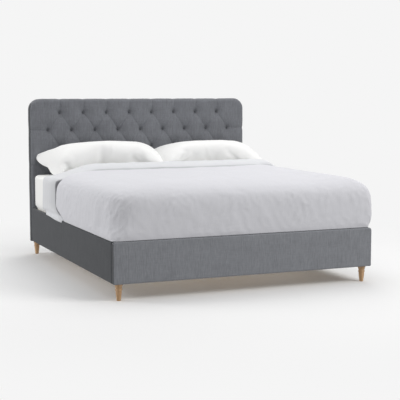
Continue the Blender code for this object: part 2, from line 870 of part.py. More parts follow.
def make_duvet():
    """A thick quilt over the mattress and sheet, hanging to the rails on three sides."""
    outline = plan_outline(DUVET_HALF_WIDTH, DUVET_FOOT_Y, DUVET_HEAD_Y, DUVET_CORNER, 0.02)
    bm = slab_bmesh(outline, 0, DUVET_TOP - HEM_Z, DUVET_EDGE, 4)
    duvet = add_object("duvet", bm, DUVET_LINEN)
    lay_flat(duvet, DUVET_TOP)

    clearance = SHEET_GAP + CLOTH + SHEET_GAP
    cavity_outline = plan_outline(
        MATTRESS_WIDTH / 2 + clearance, MATTRESS_FOOT_Y - clearance, DUVET_HEAD_Y + 0.1, 0.040, 0
    )
    cavity_top = MATTRESS_TOP + clearance
    cavity = add_object(
        "duvet_cavity", slab_bmesh(cavity_outline, 0, cavity_top - HEM_Z + 0.05, 0.015), DUVET_LINEN, CUTTERS
    )
    lay_flat(as_cutter(cavity), cavity_top)
    add_boolean(duvet, cavity)


# Pillows


def pillow_bmesh(size, open_end):
    """A plump pillow: a grid whose height falls to a thin seam all round, mirrored below the seam.

    An open end loses its last column of faces, as a pillow case does.
    """
    bm = bmesh.new()
    columns = 10
    bmesh.ops.create_grid(bm, x_segments=columns, y_segments=6, size=1.0)
    for vert in bm.verts:
        u = math.sin(vert.co.x * math.pi / 2)
        v = math.sin(vert.co.y * math.pi / 2)
        fullness = (1 - abs(u) ** 2.6) * (1 - abs(v) ** 2.2)
        waist = 1 - 0.10 * (1 - u * u) * abs(v)
        vert.co = Vector((u * size.x / 2, v * waist * size.y / 2, math.sqrt(max(fullness, 0)) * size.z / 2))
    geometry = list(bm.verts) + list(bm.edges) + list(bm.faces)
    lower = bmesh.ops.duplicate(bm, geom=geometry)["geom"]
    lower_verts = [item for item in lower if isinstance(item, bmesh.types.BMVert)]
    lower_faces = [item for item in lower if isinstance(item, bmesh.types.BMFace)]
    bmesh.ops.scale(bm, verts=lower_verts, vec=(1, 1, -1))
    bmesh.ops.reverse_faces(bm, faces=lower_faces)
    bmesh.ops.remove_doubles(bm, verts=bm.verts, dist=0.00001)
    if open_end:
        limit = math.sin(math.pi / 2 * (1 - 2.0 / columns)) * size.x / 2 - 0.001
        end = [f for f in bm.faces if all(vert.co.x > limit for vert in f.verts)]
        bmesh.ops.delete(bm, geom=end, context="FACES")
    return bm


def make_pillows():
    """Two pillows leaning on the headboard, each a filling in a case that is open at its outer end."""
    for name, side in (("left", -1), ("right", 1)):
        case = add_object(f"pillow_{name}_case", pillow_bmesh(PILLOW_SIZE, True), PILLOW_COTTON)
        add_solidify(case, CASE_CLOTH, -1.0)
        filling_size = PILLOW_SIZE - Vector((0.060, 0.016, 0.012))
        filling = add_object(f"pillow_{name}_filling", pillow_bmesh(filling_size, False), PILLOW_FIBRE)
        for obj, shift in ((case, 0.0), (filling, -0.020)):
            obj.location = (side * (PILLOW_X + shift), PILLOW_Y, PILLOW_Z)
            obj.rotation_euler = (PILLOW_TILT, 0, 0)
            if side < 0:
                obj.data.transform(Matrix.Rotation(math.pi, 4, "Z"))
            smooth(obj, 50)


def main():
    """Builds every sub-part."""
    make_headboard_cover()
    make_headboard_foam()
    make_headboard_frame()
    make_buttons()
    make_rails()
    make_corner_blocks()
    make_ledgers_and_beam()
    make_brackets()
    make_slats()
    make_legs()
    make_centre_legs()
    make_mattress()
    make_flat_sheet()
    make_duvet()
    make_pillows()
    bpy.context.view_layer.update()


main()
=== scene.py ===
"""Looks of the upholstered bed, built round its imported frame. Metres, +Z up, the headboard towards +Y."""
import itertools
import json
import math

import bpy
import numpy as np
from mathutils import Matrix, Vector
from mathutils.kdtree import KDTree

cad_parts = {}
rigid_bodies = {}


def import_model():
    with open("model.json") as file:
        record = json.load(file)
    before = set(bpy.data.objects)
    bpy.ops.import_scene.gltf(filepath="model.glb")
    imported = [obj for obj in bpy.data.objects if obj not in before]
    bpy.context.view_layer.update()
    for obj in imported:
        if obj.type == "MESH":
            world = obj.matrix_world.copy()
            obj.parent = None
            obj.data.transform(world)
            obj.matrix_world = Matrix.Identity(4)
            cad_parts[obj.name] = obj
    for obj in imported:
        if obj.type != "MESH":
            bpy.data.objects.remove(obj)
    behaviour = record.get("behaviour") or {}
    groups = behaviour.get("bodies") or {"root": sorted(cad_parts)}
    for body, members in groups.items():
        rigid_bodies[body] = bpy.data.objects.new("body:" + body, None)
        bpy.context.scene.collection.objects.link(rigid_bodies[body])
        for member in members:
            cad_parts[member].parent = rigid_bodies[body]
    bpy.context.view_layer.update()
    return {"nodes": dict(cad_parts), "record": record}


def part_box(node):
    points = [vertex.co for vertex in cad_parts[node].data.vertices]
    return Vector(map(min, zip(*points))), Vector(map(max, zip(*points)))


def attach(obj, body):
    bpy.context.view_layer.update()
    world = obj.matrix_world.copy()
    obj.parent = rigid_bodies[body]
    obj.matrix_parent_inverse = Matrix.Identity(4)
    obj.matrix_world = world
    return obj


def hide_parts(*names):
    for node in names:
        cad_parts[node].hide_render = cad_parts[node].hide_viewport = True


for leftover in list(bpy.data.objects):
    bpy.data.objects.remove(leftover)
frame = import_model()
record = frame["record"]

# ---- dimensions

GRID = 0.003  # spacing of the points on the tufted field
FINE_FROM = 0.60  # the height where the tufted field starts

BUTTON_PITCH = 0.200
BUTTON_ROW_PITCH = 0.1415
BUTTON_TOP_ROW = 1.157
BUTTON_RADIUS = 0.0115
BUTTON_SINK = 0.032  # how far a button pulls the face in
PLEAT_SINK = 0.0060
CROWN_SINK = 0.0042  # how far the face falls round each diamond
FRONT_ROOM = 0.0262  # between the cloth and the board behind it
EDGE_ROOM = 0.0036  # the same at the edges

HEADBOARD_EDGE = 0.026
HEADBOARD_CORNER = 0.088
BACK_EDGE = 0.006
BACK_RETURN = 0.030  # how far the cloth wraps round to the back
COVER_THICKNESS = 0.0015
STAPLE_LONG, STAPLE_WIDE = 0.0055, 0.0005  # half its length and half its width
STAPLE_PROUD = 0.0007
RAIL_EDGE, RAIL_STEP = 0.009, 0.014
LEG_RINGS, LEG_STEPS = 70, 48
MATTRESS_EDGE, MATTRESS_STEP = 0.034, 0.022
MATTRESS_HEAD_CORNER, MATTRESS_FOOT_CORNER = 0.040, 0.150
SIDEWAYS = 0.80  # a face whose normal's x is larger than this looks left or right

SHEET_THICKNESS = 0.0016
SHEET_LIFT = 0.0012  # between the sheet's base shape and what it lies on
FOLD_RETURN = 0.26  # how far the sheet's folded end runs back under the fold
CASE_SLACK = (1.05, 1.18)  # a pillowcase is cut larger than the filled pillow
PILLOW_TILT = 25  # degrees, raised at the headboard
PILLOW_GAP, WALL_GAP = 0.0025, 0.004  # above the mattress, and before the headboard
SOFT_TOUCH = 0.006  # how gently a pillow's underside turns flat where it rests

# ---- numbers

SHUFFLE = np.random.RandomState(7).permutation(256)
DIRECTIONS = np.array(
    [d for d in itertools.product((-1, 0, 1), repeat=3) if sum(abs(x) for x in d) == 2] * 2
)[:16].astype(float)


def noise(points, seed=0):
    """Smooth noise from about -1 to 1 at each point."""
    p = np.asarray(points, float)
    cell = np.floor(p).astype(int)
    inside = p - cell
    fade = inside**3 * (inside * (inside * 6 - 15) + 10)
    total = np.zeros(len(p))
    for corner in itertools.product((0, 1), repeat=3):
        at = cell + corner
        mixed = SHUFFLE[(at[:, 0] + 31 * seed) & 255]
        mixed = SHUFFLE[(mixed + at[:, 1]) & 255]
        mixed = SHUFFLE[(mixed + at[:, 2]) & 255]
        slope = DIRECTIONS[mixed & 15]
        share = np.where(corner, fade, 1 - fade).prod(1)
        total += share * (slope * (inside - corner)).sum(1)
    return total * 1.1


def cloud(points, size, seed=0, octaves=3):
    """Several sizes of noise together; size is the largest one's, in metres."""
    p = np.asarray(points, float) / size
    return sum(noise(p * 2**k, seed + k) / 2**k for k in range(octaves)) / 1.6


def wandering(points, size, reach, seed):
    """The points pushed about by smooth noise, so that creases made from them aren't straight."""
    return points + reach * np.stack([noise(points / size, seed + k) for k in range(3)], 1)


def creases(points, size, seed=0, sharpness=2.2):
    """Narrow ridges from 0 to 1, as crumpled cloth has."""
    ridge = 1 - np.abs(noise(np.asarray(points, float) / size, seed)) * sharpness
    return np.clip(ridge, 0, 1) ** 1.6


def smooth_step(x, low, high):
    t = np.clip((np.asarray(x, float) - low) / (high - low), 0, 1)
    return t * t * (3 - 2 * t)


def spline(points, count):
    """A smooth curve through a few points, as count points evenly spaced along it."""
    p = np.asarray(points, float)
    first, last = 2 * p[0] - p[1], 2 * p[-1] - p[-2]
    q = np.vstack([first, p, last])
    t = np.linspace(0, 1, 24, endpoint=False)[:, None]
    spans = []
    for k in range(1, len(q) - 2):
        a, b, c, d = q[k - 1], q[k], q[k + 1], q[k + 2]
        spans.append(0.5 * (2 * b + (c - a) * t + (2 * a - 5 * b + 4 * c - d) * t**2
                            + (3 * b - a - 3 * c + d) * t**3))
    fine = np.vstack([*spans, p[-1:]])
    run = np.concatenate([[0], np.cumsum(np.linalg.norm(np.diff(fine, axis=0), axis=1))])
    even = np.linspace(0, run[-1], count)
    return np.stack([np.interp(even, run, fine[:, k]) for k in range(p.shape[1])], 1)


# ---- meshes


def grid_quads(rows, columns):
    """Quads of a grid whose points run row by row."""
    a = (np.arange(rows - 1)[:, None] * columns + np.arange(columns - 1)[None, :]).ravel()
    return np.stack([a, a + 1, a + columns + 1, a + columns], 1)


def strip_quads(one, other):
    """Quads between two rows of point numbers."""
    one, other = np.asarray(one), np.asarray(other)
    return np.stack([one[:-1], one[1:], other[1:], other[:-1]], 1)


def normals_of(points, quads):
    diagonal = np.cross(points[quads[:, 2]] - points[quads[:, 0]], points[quads[:, 3]] - points[quads[:, 1]])
    total = np.zeros_like(points)
    for k in range(4):
        np.add.at(total, quads[:, k], diagonal)
    return total / np.maximum(np.linalg.norm(total, axis=1), 1e-12)[:, None]


def relaxed(points, quads, share, rounds):
    """Evens a surface out where share is more than 0."""
    edges = np.unique(np.sort(np.vstack([quads[:, [k, (k + 1) % 4]] for k in range(4)]), axis=1), axis=0)
    a, b = edges.T
    count = np.bincount(edges.ravel(), minlength=len(points))[:, None]
    for _ in range(rounds):
        total = np.stack([np.bincount(a, points[b, k], len(points)) + np.bincount(b, points[a, k], len(points))
                          for k in range(3)], 1)
        points = points + (total / count - points) * share[:, None]
    return points


def gathered(parts):
    """One set of points and quads made of several."""
    points, quads, count = [], [], 0
    for part, part_quads in parts:
        points.append(part)
        quads.append(part_quads + count)
        count += len(part)
    return np.vstack(points), np.vstack(quads)


class Skin:
    """A surface that grows by rows of points."""

    def __init__(self, points, quads):
        self.points, self.quads, self.count = [points], [quads], len(points)

    def add(self, points, quads):
        self.points.append(points)
        self.quads.append(quads)
        self.count += len(points)

    def row(self, points, previous):
        """Joins a row of points to the previous one, and gives its numbers."""
        numbers = self.count + np.arange(len(points))
        self.add(points, strip_quads(previous, numbers))
        return numbers

    def rolled(self, upper, lower, angles, bulge, previous):
        """Rows in a half round from one edge to another, towards +Y. Gives the numbers of the last one."""
        middle, reach = (upper + lower) / 2, np.linalg.norm(upper - lower, axis=1) / 2
        for angle in angles:
            ring = middle + (upper - middle) * math.cos(angle)
            ring[:, 1] += reach * math.sin(angle) * bulge
            previous = self.row(ring, previous)
        return previous

    def made(self):
        return np.vstack(self.points), np.vstack(self.quads)


def place_object(name, points, faces):
    """Puts a plain mesh in the scene."""
    mesh = bpy.data.meshes.new(name)
    mesh.from_pydata(np.asarray(points, float).tolist(), [], faces)
    placed = bpy.data.objects.new(name, mesh)
    bpy.context.scene.collection.objects.link(placed)
    return placed


def make_piece(name, points, quads, material, body, slot):
    """A smooth mesh that rides on a body."""
    made = place_object(name, points, np.asarray(quads).tolist())
    mesh = made.data
    mesh.polygons.foreach_set("use_smooth", [True] * len(mesh.polygons))
    mesh.update()
    mesh.materials.append(material)
    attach(made, body)
    return made


def set_painted_shade(piece, values):
    """Keeps on the piece how much painted shade each of its points gets, 0 to 1, as the "fold" value that
    darkens its colour.
    """
    layer = piece.data.attributes.new("fold", "FLOAT", "POINT")
    layer.data.foreach_set("value", np.clip(values, 0, 1).astype(np.float32))


def shade_sides(piece):
    """Gives the faces that look left and right a painted shade: a darker copy of the cloth, standing in for
    the shade on the sides.
    """
    piece.data.materials.append(grey_side_shaded)
    for face in piece.data.polygons:
        if abs(face.normal.x) > SIDEWAYS:
            face.material_index = 1


def thicken(piece, thickness):
    shell = piece.modifiers.new("thickness", "SOLIDIFY")
    shell.thickness = thickness
    shell.offset = -1
    shell.use_even_offset = False
    return piece


def rounding(a, b):
    """The factor that moves places (a, b) of a square corner onto a round one, where both are above 0."""
    share = np.maximum(a, b) / np.maximum(np.hypot(a, b), 1e-9)
    return np.where((a > 0) & (b > 0), share, 1)


def weld(points, quads, within=1e-5):
    """Merges points that share a place."""
    keys = np.round(np.asarray(points) / within).astype(np.int64)
    _, first, number = np.unique(keys, axis=0, return_index=True, return_inverse=True)
    return np.asarray(points)[first], number.ravel()[quads]


def axis_steps(low, high, edge, step):
    """Places along one side of a soft box: close together round its edges."""
    turn = edge * (1 - np.tan(np.linspace(math.pi / 4, 0, 6)[:-1]))
    middle = np.linspace(low + edge, high - edge, max(2, int((high - low - 2 * edge) / step)))
    return np.concatenate([low + turn, middle, (high - turn)[::-1]])


def soft_box(low, high, edge, step, corner=None):
    """The points and quads of a box with rounded edges. corner is (two axes, radius, from the low or the high
    end of each) for corners that are rounder in one view."""
    low, high = np.array(low, float), np.array(high, float)
    steps = [axis_steps(low[k], high[k], edge, step) for k in range(3)]
    faces = []
    for axis in range(3):
        u, v = (axis + 1) % 3, (axis + 2) % 3
        for end in (0, 1):
            a, b = np.meshgrid(steps[u], steps[v], indexing="ij")
            face = np.zeros(a.shape + (3,))
            face[..., u], face[..., v] = a, b
            face[..., axis] = (low, high)[end][axis]
            quads = grid_quads(*a.shape)
            faces.append((face.reshape(-1, 3), quads if end == 0 else quads[:, ::-1]))
    points, quads = weld(*gathered(faces))
    inner = np.clip(points, low + edge, high - edge)
    out = points - inner
    length = np.linalg.norm(out, axis=1)
    points = inner + out / np.maximum(length, 1e-9)[:, None] * edge
    if corner:
        points = rounder(points, low, high, *corner)
    return points, quads


def rounder(points, low, high, axes, radius, ends):
    """The points of a box with some of its corners rounder in the view of two axes."""
    u, v = axes
    for end_u, end_v in ends:
        at_u = (high[u] - radius) if end_u > 0 else (low[u] + radius)
        at_v = (high[v] - radius) if end_v > 0 else (low[v] + radius)
        a, b = (points[:, u] - at_u) * end_u, (points[:, v] - at_v) * end_v
        near, share = (a > 0) & (b > 0), rounding(a, b)
        points[:, u] = np.where(near, at_u + a * share * end_u, points[:, u])
        points[:, v] = np.where(near, at_v + b * share * end_v, points[:, v])
    return points


def turned(profile, steps, centre):
    """A lathe shape: profile is (radius, height) from bottom to top."""
    angle = np.linspace(0, 2 * math.pi, steps, endpoint=False)
    rings = [np.stack([centre[0] + r * np.cos(angle), centre[1] + r * np.sin(angle),
                       np.full(steps, centre[2] + z)], 1) for r, z in profile]
    points = np.vstack(rings)
    quads = []
    for k in range(len(profile) - 1):
        a = k * steps + np.arange(steps)
        b = k * steps + (np.arange(steps) + 1) % steps
        quads.append(np.stack([a, b, b + steps, a + steps], 1))
    return points, np.vstack(quads)


# ---- materials

PAINTED_SHADE_TINT = (0.10, 0.10, 0.11, 1)  # painted shade: what a cloth's colour is multiplied by where its "fold" value is full, standing in for the shade down in a fold


class Nodes:
    """Adds shader nodes to one material."""

    def __init__(self, name, **constants):
        self.material = bpy.data.materials.new(name)
        self.material.use_nodes = True
        self.tree = self.material.node_tree
        self.shader = next(n for n in self.tree.nodes if n.type == "BSDF_PRINCIPLED")
        for socket, value in constants.items():
            self.shader.inputs[socket.replace("_", " ")].default_value = value
        self.place = self.tree.nodes.new("ShaderNodeTexCoord").outputs["Object"]

    def link(self, source, target):
        self.tree.links.new(source, target)

    def add(self, kind, **values):
        """A new node, with the values of some of its inputs."""
        node = self.tree.nodes.new("ShaderNode" + kind)
        for socket, value in values.items():
            node.inputs[socket.replace("_", " ")].default_value = value
        return node

    def noise(self, scale, detail=2.0, rough=0.5, distortion=0.0):
        stretched = self.add("Mapping", Scale=scale)
        self.link(self.place, stretched.inputs["Vector"])
        node = self.add("TexNoise", Scale=1.0, Detail=detail, Roughness=rough, Distortion=distortion)
        self.link(stretched.outputs[0], node.inputs["Vector"])
        return node.outputs[0]

    def wave(self, axis, pitch, wander=0.0):
        node = self.add("TexWave", Scale=0.314 / pitch, Distortion=wander, Detail=1.0, Detail_Scale=3.0)
        node.bands_direction = axis
        self.link(self.place, node.inputs["Vector"])
        return node.outputs[1]

    def math(self, operation, a, b):
        node = self.add("Math")
        node.operation = operation
        for socket, value in zip(node.inputs, (a, b)):
            if isinstance(value, (int, float)):
                socket.default_value = value
            else:
                self.link(value, socket)
        return node.outputs[0]

    def total(self, *parts):
        """Adds up (source, weight) pairs."""
        result = None
        for source, weight in parts:
            part = self.math("MULTIPLY", source, weight)
            result = part if result is None else self.math("ADD", result, part)
        return result

    def ramp(self, source, *stops):
        node = self.add("ValToRGB")
        band = node.color_ramp
        while len(band.elements) < len(stops):
            band.elements.new(0.5)
        for element, (at, colour) in zip(band.elements, stops):
            element.position = at
            element.color = (*colour, 1.0)
        self.link(source, node.inputs[0])
        return node.outputs[0]

    def colour(self, source):
        self.link(source, self.shader.inputs["Base Color"])

    def painted_fold_shade(self, source):
        """Painted shade: the colour darkened where the piece's own "fold" value is high, standing in for the
        shade down in a tuft or a crease.
        """
        fold = self.add("Attribute")
        fold.attribute_name = "fold"
        mix = self.add("MixRGB", Color2=PAINTED_SHADE_TINT)
        mix.blend_type = "MULTIPLY"
        self.link(fold.outputs["Fac"], mix.inputs["Fac"])
        self.link(source, mix.inputs["Color1"])
        return mix.outputs["Color"]

    def rough(self, source, low, high):
        node = self.add("MapRange", To_Min=low, To_Max=high)
        self.link(source, node.inputs["Value"])
        self.link(node.outputs[0], self.shader.inputs["Roughness"])

    def bump(self, source, strength, distance):
        node = self.add("Bump", Strength=strength, Distance=distance)
        self.link(source, node.inputs["Height"])
        self.link(node.outputs[0], self.shader.inputs["Normal"])


def linear(red, green, blue):
    """A colour given in the 0 to 255 that a screen shows."""
    shown = (red, green, blue)
    return tuple(((c / 255 + 0.055) / 1.055) ** 2.4 if c > 10 else c / 255 / 12.92 for c in shown)


def shade(colour, factor):
    return tuple(min(1.0, c * factor) for c in colour)


def linen(name, base, contrast, upright, level, thread=0.0016, bump=0.5, sheen=0.15, rough=0.85):
    """Woven cloth with uneven threads. upright and level stretch the threads that run each way."""
    n = Nodes(name, Sheen_Weight=sheen, Sheen_Roughness=0.45, Specular_IOR_Level=0.25)
    warp = n.noise(upright, 2.0, 0.55)
    weft = n.noise(level, 2.0, 0.55)
    warp_long = n.noise(tuple(s * 0.33 for s in upright), 2.0, 0.6)
    weft_long = n.noise(tuple(s * 0.33 for s in level), 2.0, 0.6)
    patches = n.noise((9, 9, 9), 3.0, 0.6)
    tone = n.total((warp, 0.38), (weft, 0.16), (warp_long, 0.26), (weft_long, 0.06), (patches, 0.14))
    threads = n.ramp(tone, (0.34, shade(base, 1 - contrast)), (0.5, base), (0.66, shade(base, 1 + contrast)))
    # painted shade: the threads' colour darkened where the piece's "fold" value is high
    n.colour(n.painted_fold_shade(threads))
    weave = n.math("MULTIPLY", n.wave("X", thread, 0.6), n.wave("Z", thread, 0.6))
    side = n.math("MULTIPLY", n.wave("Y", thread, 0.6), n.wave("Z", thread, 0.6))
    n.bump(n.total((weave, 0.25), (side, 0.25), (warp, 0.9), (weft, 0.7)), bump, thread * 0.6)
    n.rough(tone, rough - 0.08, min(1.0, rough + 0.1))
    return n.material


def cotton(name, base, contrast, thread=0.0008, bump=0.25, sheen=0.1, crumple=0.0):
    """Fine plain-woven cloth, with soft shallow creases."""
    n = Nodes(name, Sheen_Weight=sheen, Sheen_Roughness=0.4, Specular_IOR_Level=0.3)
    across = n.noise((620, 40, 620), 1.0, 0.5)
    along = n.noise((40, 620, 620), 1.0, 0.5)
    patches = n.noise((6, 6, 6), 3.0, 0.6)
    tone = n.total((across, 0.3), (along, 0.3), (patches, 0.4))
    # painted shade: the colour darkened where the piece's "fold" value is high
    n.colour(n.painted_fold_shade(n.ramp(tone, (0.36, shade(base, 1 - contrast)), (0.64, base))))
    folds = n.noise((17, 17, 17), 4.0, 0.62, distortion=0.6)
    weave = n.math("MULTIPLY", n.wave("X", thread), n.wave("Y", thread))
    n.bump(n.total((weave, 0.05), (across, 0.12), (along, 0.12), (folds, crumple)), bump, 0.002)
    n.rough(tone, 0.75, 0.92)
    return n.material


def wood(name, pale, dark, grain, rough=0.45, lacquer=0.15, pores=0.35):
    """Timber whose grain runs along the axis with the small number in grain."""
    n = Nodes(name, Coat_Weight=lacquer, Coat_Roughness=0.3, Specular_IOR_Level=0.45)
    rings = n.noise(tuple(g * 0.35 for g in grain), 3.0, 0.6, distortion=1.2)
    fibres = n.noise(tuple(g * 6 for g in grain), 2.0, 0.6)
    specks = n.noise(tuple(g * 14 for g in grain), 1.0, 0.5)
    tone = n.total((rings, 0.55), (fibres, 0.3), (specks, 0.15))
    middle = tuple((a + b) / 2 for a, b in zip(pale, dark))
    n.colour(n.ramp(tone, (0.36, dark), (0.5, middle), (0.62, pale)))
    n.bump(n.total((fibres, 0.6), (specks, pores)), 0.25, 0.0006)
    n.rough(fibres, rough - 0.08, rough + 0.15)
    return n.material


def layered_board(name, pale, dark):
    """Plywood: pale and dark plies at the edges, rotary-cut figure on the faces."""
    n = Nodes(name, Specular_IOR_Level=0.3)
    plies = n.wave("Y", 0.003, 0.2)
    figure = n.noise((14, 60, 2.2), 4.0, 0.6, distortion=1.6)
    tone = n.total((plies, 0.25), (figure, 0.75))
    n.colour(n.ramp(tone, (0.3, dark), (0.62, pale)))
    n.bump(figure, 0.15, 0.0008)
    n.rough(figure, 0.6, 0.8)
    return n.material


def metal(name, base, rough):
    """Zinc-plated steel with the faint clouding of its plating."""
    n = Nodes(name, Metallic=1.0)
    cloudy = n.noise((120, 120, 120), 3.0, 0.6)
    scuffs = n.noise((900, 40, 900), 2.0, 0.5)
    n.colour(n.ramp(cloudy, (0.35, shade(base, 0.82)), (0.65, base)))
    n.rough(n.total((cloudy, 0.6), (scuffs, 0.4)), rough - 0.1, rough + 0.18)
    n.bump(scuffs, 0.12, 0.0003)
    return n.material


def moulded(name, base):
    """Moulded plastic with a fine spark-eroded grain."""
    n = Nodes(name, Specular_IOR_Level=0.4)
    grain = n.noise((1400, 1400, 1400), 2.0, 0.6)
    patches = n.noise((30, 30, 30), 3.0, 0.6)
    n.colour(n.ramp(patches, (0.35, shade(base, 0.85)), (0.65, shade(base, 1.2))))
    n.bump(grain, 0.2, 0.0003)
    n.rough(grain, 0.45, 0.62)
    return n.material


def open_foam(name, base):
    """Cut foam: fine open cells."""
    n = Nodes(name, Specular_IOR_Level=0.2)
    cells = n.add("TexVoronoi", Scale=480)
    n.link(n.place, cells.inputs["Vector"])
    patches = n.noise((14, 14, 14), 3.0, 0.6)
    tone = n.total((cells.outputs[0], 0.4), (patches, 0.6))
    n.colour(n.ramp(tone, (0.2, shade(base, 0.8)), (0.7, base)))
    n.bump(cells.outputs[0], 0.5, 0.001)
    n.rough(cells.outputs[0], 0.85, 1.0)
    return n.material


def lining(name, base):
    """Thin unwoven lining with a pressed dot pattern."""
    n = Nodes(name, Sheen_Weight=0.1, Specular_IOR_Level=0.2)
    dots = n.math("MULTIPLY", n.wave("X", 0.004), n.wave("Z", 0.004))
    fibres = n.noise((500, 500, 500), 3.0, 0.7)
    sag = n.noise((5, 5, 5), 3.0, 0.5)
    n.colour(n.ramp(n.total((fibres, 0.6), (sag, 0.4)), (0.35, shade(base, 0.7)), (0.65, shade(base, 1.3))))
    n.bump(n.total((dots, -0.6), (fibres, 0.4), (sag, 3.0)), 0.4, 0.001)
    n.rough(fibres, 0.8, 0.95)
    return n.material


UPRIGHT = (330, 330, 26)
LEVEL = (22, 22, 300)
grey = linen("grey_linen", linear(138, 140, 145), 0.24, UPRIGHT, LEVEL)
# painted shade: the headboard's linen is a darker copy of the grey linen, standing in for the shade on it
grey_head_shaded = linen("grey_linen_headboard_painted_shade", linear(118, 120, 125), 0.26, UPRIGHT, LEVEL)
# painted shade: a much darker copy for the faces that look left and right
grey_side_shaded = linen("grey_linen_side_painted_shade", linear(76, 78, 81), 0.24, UPRIGHT, LEVEL)
# painted shade: the buttons are the same linen, darkened for the shade in their hollows
button_cloth_shaded = linen("button_linen_painted_shade", linear(80, 82, 86), 0.25, UPRIGHT, LEVEL, thread=0.0012)
duvet_cloth = linen("duvet_linen", linear(219, 219, 224), 0.035, (300, 22, 22), (22, 300, 300),
                    thread=0.0012, bump=0.35, sheen=0.12, rough=0.88)
sheet_cloth = cotton("sheet_cotton", linear(225, 226, 229), 0.03, crumple=0.5)
ticking = cotton("mattress_knit", linear(251, 251, 249), 0.03, thread=0.002, crumple=0.15)
pillow_cloth = cotton("pillow_cotton", linear(249, 249, 248), 0.02, crumple=0.6)
oak = wood("leg_oak", linear(220, 182, 140), linear(176, 136, 96), (90, 90, 7), rough=0.42, lacquer=0.25)
pine = wood("slat_pine", linear(226, 196, 150), linear(190, 150, 102), (5, 70, 70), rough=0.6, lacquer=0.0)
PINE_TONES = (linear(222, 190, 144), linear(184, 144, 98))
pine_long = wood("rail_pine", *PINE_TONES, (70, 5, 70), rough=0.6, lacquer=0.0)
pine_upright = wood("post_pine", *PINE_TONES, (70, 70, 5), rough=0.6, lacquer=0.0)
plywood = layered_board("plywood", linear(216, 186, 142), linear(168, 128, 86))
zinc = metal("zinc_steel", linear(190, 192, 196), 0.35)
black_plastic = moulded("black_plastic", linear(36, 36, 38))
foam = open_foam("foam", linear(226, 214, 176))
springs = open_foam("spring_core", linear(214, 214, 210))
black_lining = lining("black_lining", linear(42, 42, 45))

by_slot = {"plywood": plywood, "oak": oak, "zinc_steel": zinc, "black_plastic": black_plastic, "foam": foam,
           "spring_core": springs, "black_lining": black_lining, "grey_linen": grey,
           "sheet_cotton": sheet_cloth, "duvet_linen": duvet_cloth, "pillow_cotton": pillow_cloth,
           "pillow_fibre": pillow_cloth, "mattress_ticking": ticking}
slot_of = {part["node"]: part["material_slot"] for part in record["subparts"]}

# ---- headboard

cover_low, cover_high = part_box("headboard_cover")


def button_rows():
    """The places (x, z) of the buttons, one list per row, from the top."""
    rows = []
    for k in range(4):
        count = 8 + k % 2
        z = BUTTON_TOP_ROW - k * BUTTON_ROW_PITCH
        rows.append([((i - (count - 1) / 2) * BUTTON_PITCH, z) for i in range(count)])
    return rows


def pleat_lines():
    """Every fold between buttons and from them to the edges: (start, end, sink at the start, in the middle,
    at the end, width above the line, width below it)."""
    rows = button_rows()
    lines = []
    for upper, lower in zip(rows, rows[1:]):
        for x, z in upper:
            for x2, z2 in lower:
                if abs(abs(x2 - x) - BUTTON_PITCH / 2) < 1e-6:
                    middle = 0.32 if x2 > x else 0.05
                    lines.append(((x, z), (x2, z2), 1.0, middle, 0.6, 0.0060, 0.0130))
    for x, z in rows[0]:
        lines.append(((x, z), (x, 1.6), 1.0, 0.34, 0.55, 0.0060, 0.0080))
    for x, z in rows[3]:
        lines.append(((x, z), (x, z - 0.26), 0.9, 0.30, 0.0, 0.0055, 0.0090))
    for row in (rows[1], rows[3]):
        for (x, z), way in ((row[0], -1), (row[-1], 1)):
            lines.append(((x, z), (way * 1.4, z), 1.0, 0.50, 0.60, 0.0050, 0.0090))
    return lines


def tuft_shade(x, z):
    """How much painted shade each (x, z) gets in the hollow round each button."""
    painted_hollow_shade = np.zeros(len(x))
    for bx, bz in itertools.chain(*button_rows()):
        aside = np.hypot((x - bx) / 0.0150, (z - bz - 0.004) / 0.0190)
        painted_hollow_shade = np.maximum(painted_hollow_shade, 0.62 * np.exp(-(aside**2)))
    return painted_hollow_shade


def tuft_sink(x, z):
    """How far the headboard's face is pulled in at each (x, z)."""
    hollow = np.zeros(len(x))
    near = np.full(len(x), 9.0)
    gathers = np.zeros(len(x))
    for bx, bz in itertools.chain(*button_rows()):
        away = np.hypot(x - bx, z - bz)
        hollow = np.maximum(hollow, np.exp(-((away / 0.031) ** 1.15)))
        near = np.minimum(near, away)
        around = np.arctan2(z - bz, x - bx)
        gathers += 0.0011 * np.cos(9 * around + 7 * bx) * np.exp(-((away - 0.020) / 0.012) ** 2)
    pleats = np.zeros(len(x))
    for (ax, az), (bx, bz), start, middle, end, above, below in pleat_lines():
        run = math.hypot(bx - ax, bz - az)
        ux, uz = (bx - ax) / run, (bz - az) / run
        along = (x - ax) * ux + (z - az) * uz
        aside = -(x - ax) * uz + (z - az) * ux
        if ux < 0:
            aside = -aside
        t = np.clip(along / min(run, 0.30), 0, 1)
        beyond = np.maximum(np.maximum(-along, along - run), 0)
        depth = np.where(t < 0.5, start + (middle - start) * np.sin(t * math.pi),
                         middle + (end - middle) * (1 - np.sin(t * math.pi)))
        away = np.hypot(aside, beyond)
        width = np.where(aside > 0, above, below)
        pleats = np.maximum(pleats, depth * np.exp(-((away / width) ** 1.15)))
        near = np.minimum(near, away / np.maximum(depth, 0.10))
    crown = np.exp(-((near / 0.038) ** 1.4))
    return BUTTON_SINK * hollow + PLEAT_SINK * pleats + CROWN_SINK * crown + gathers


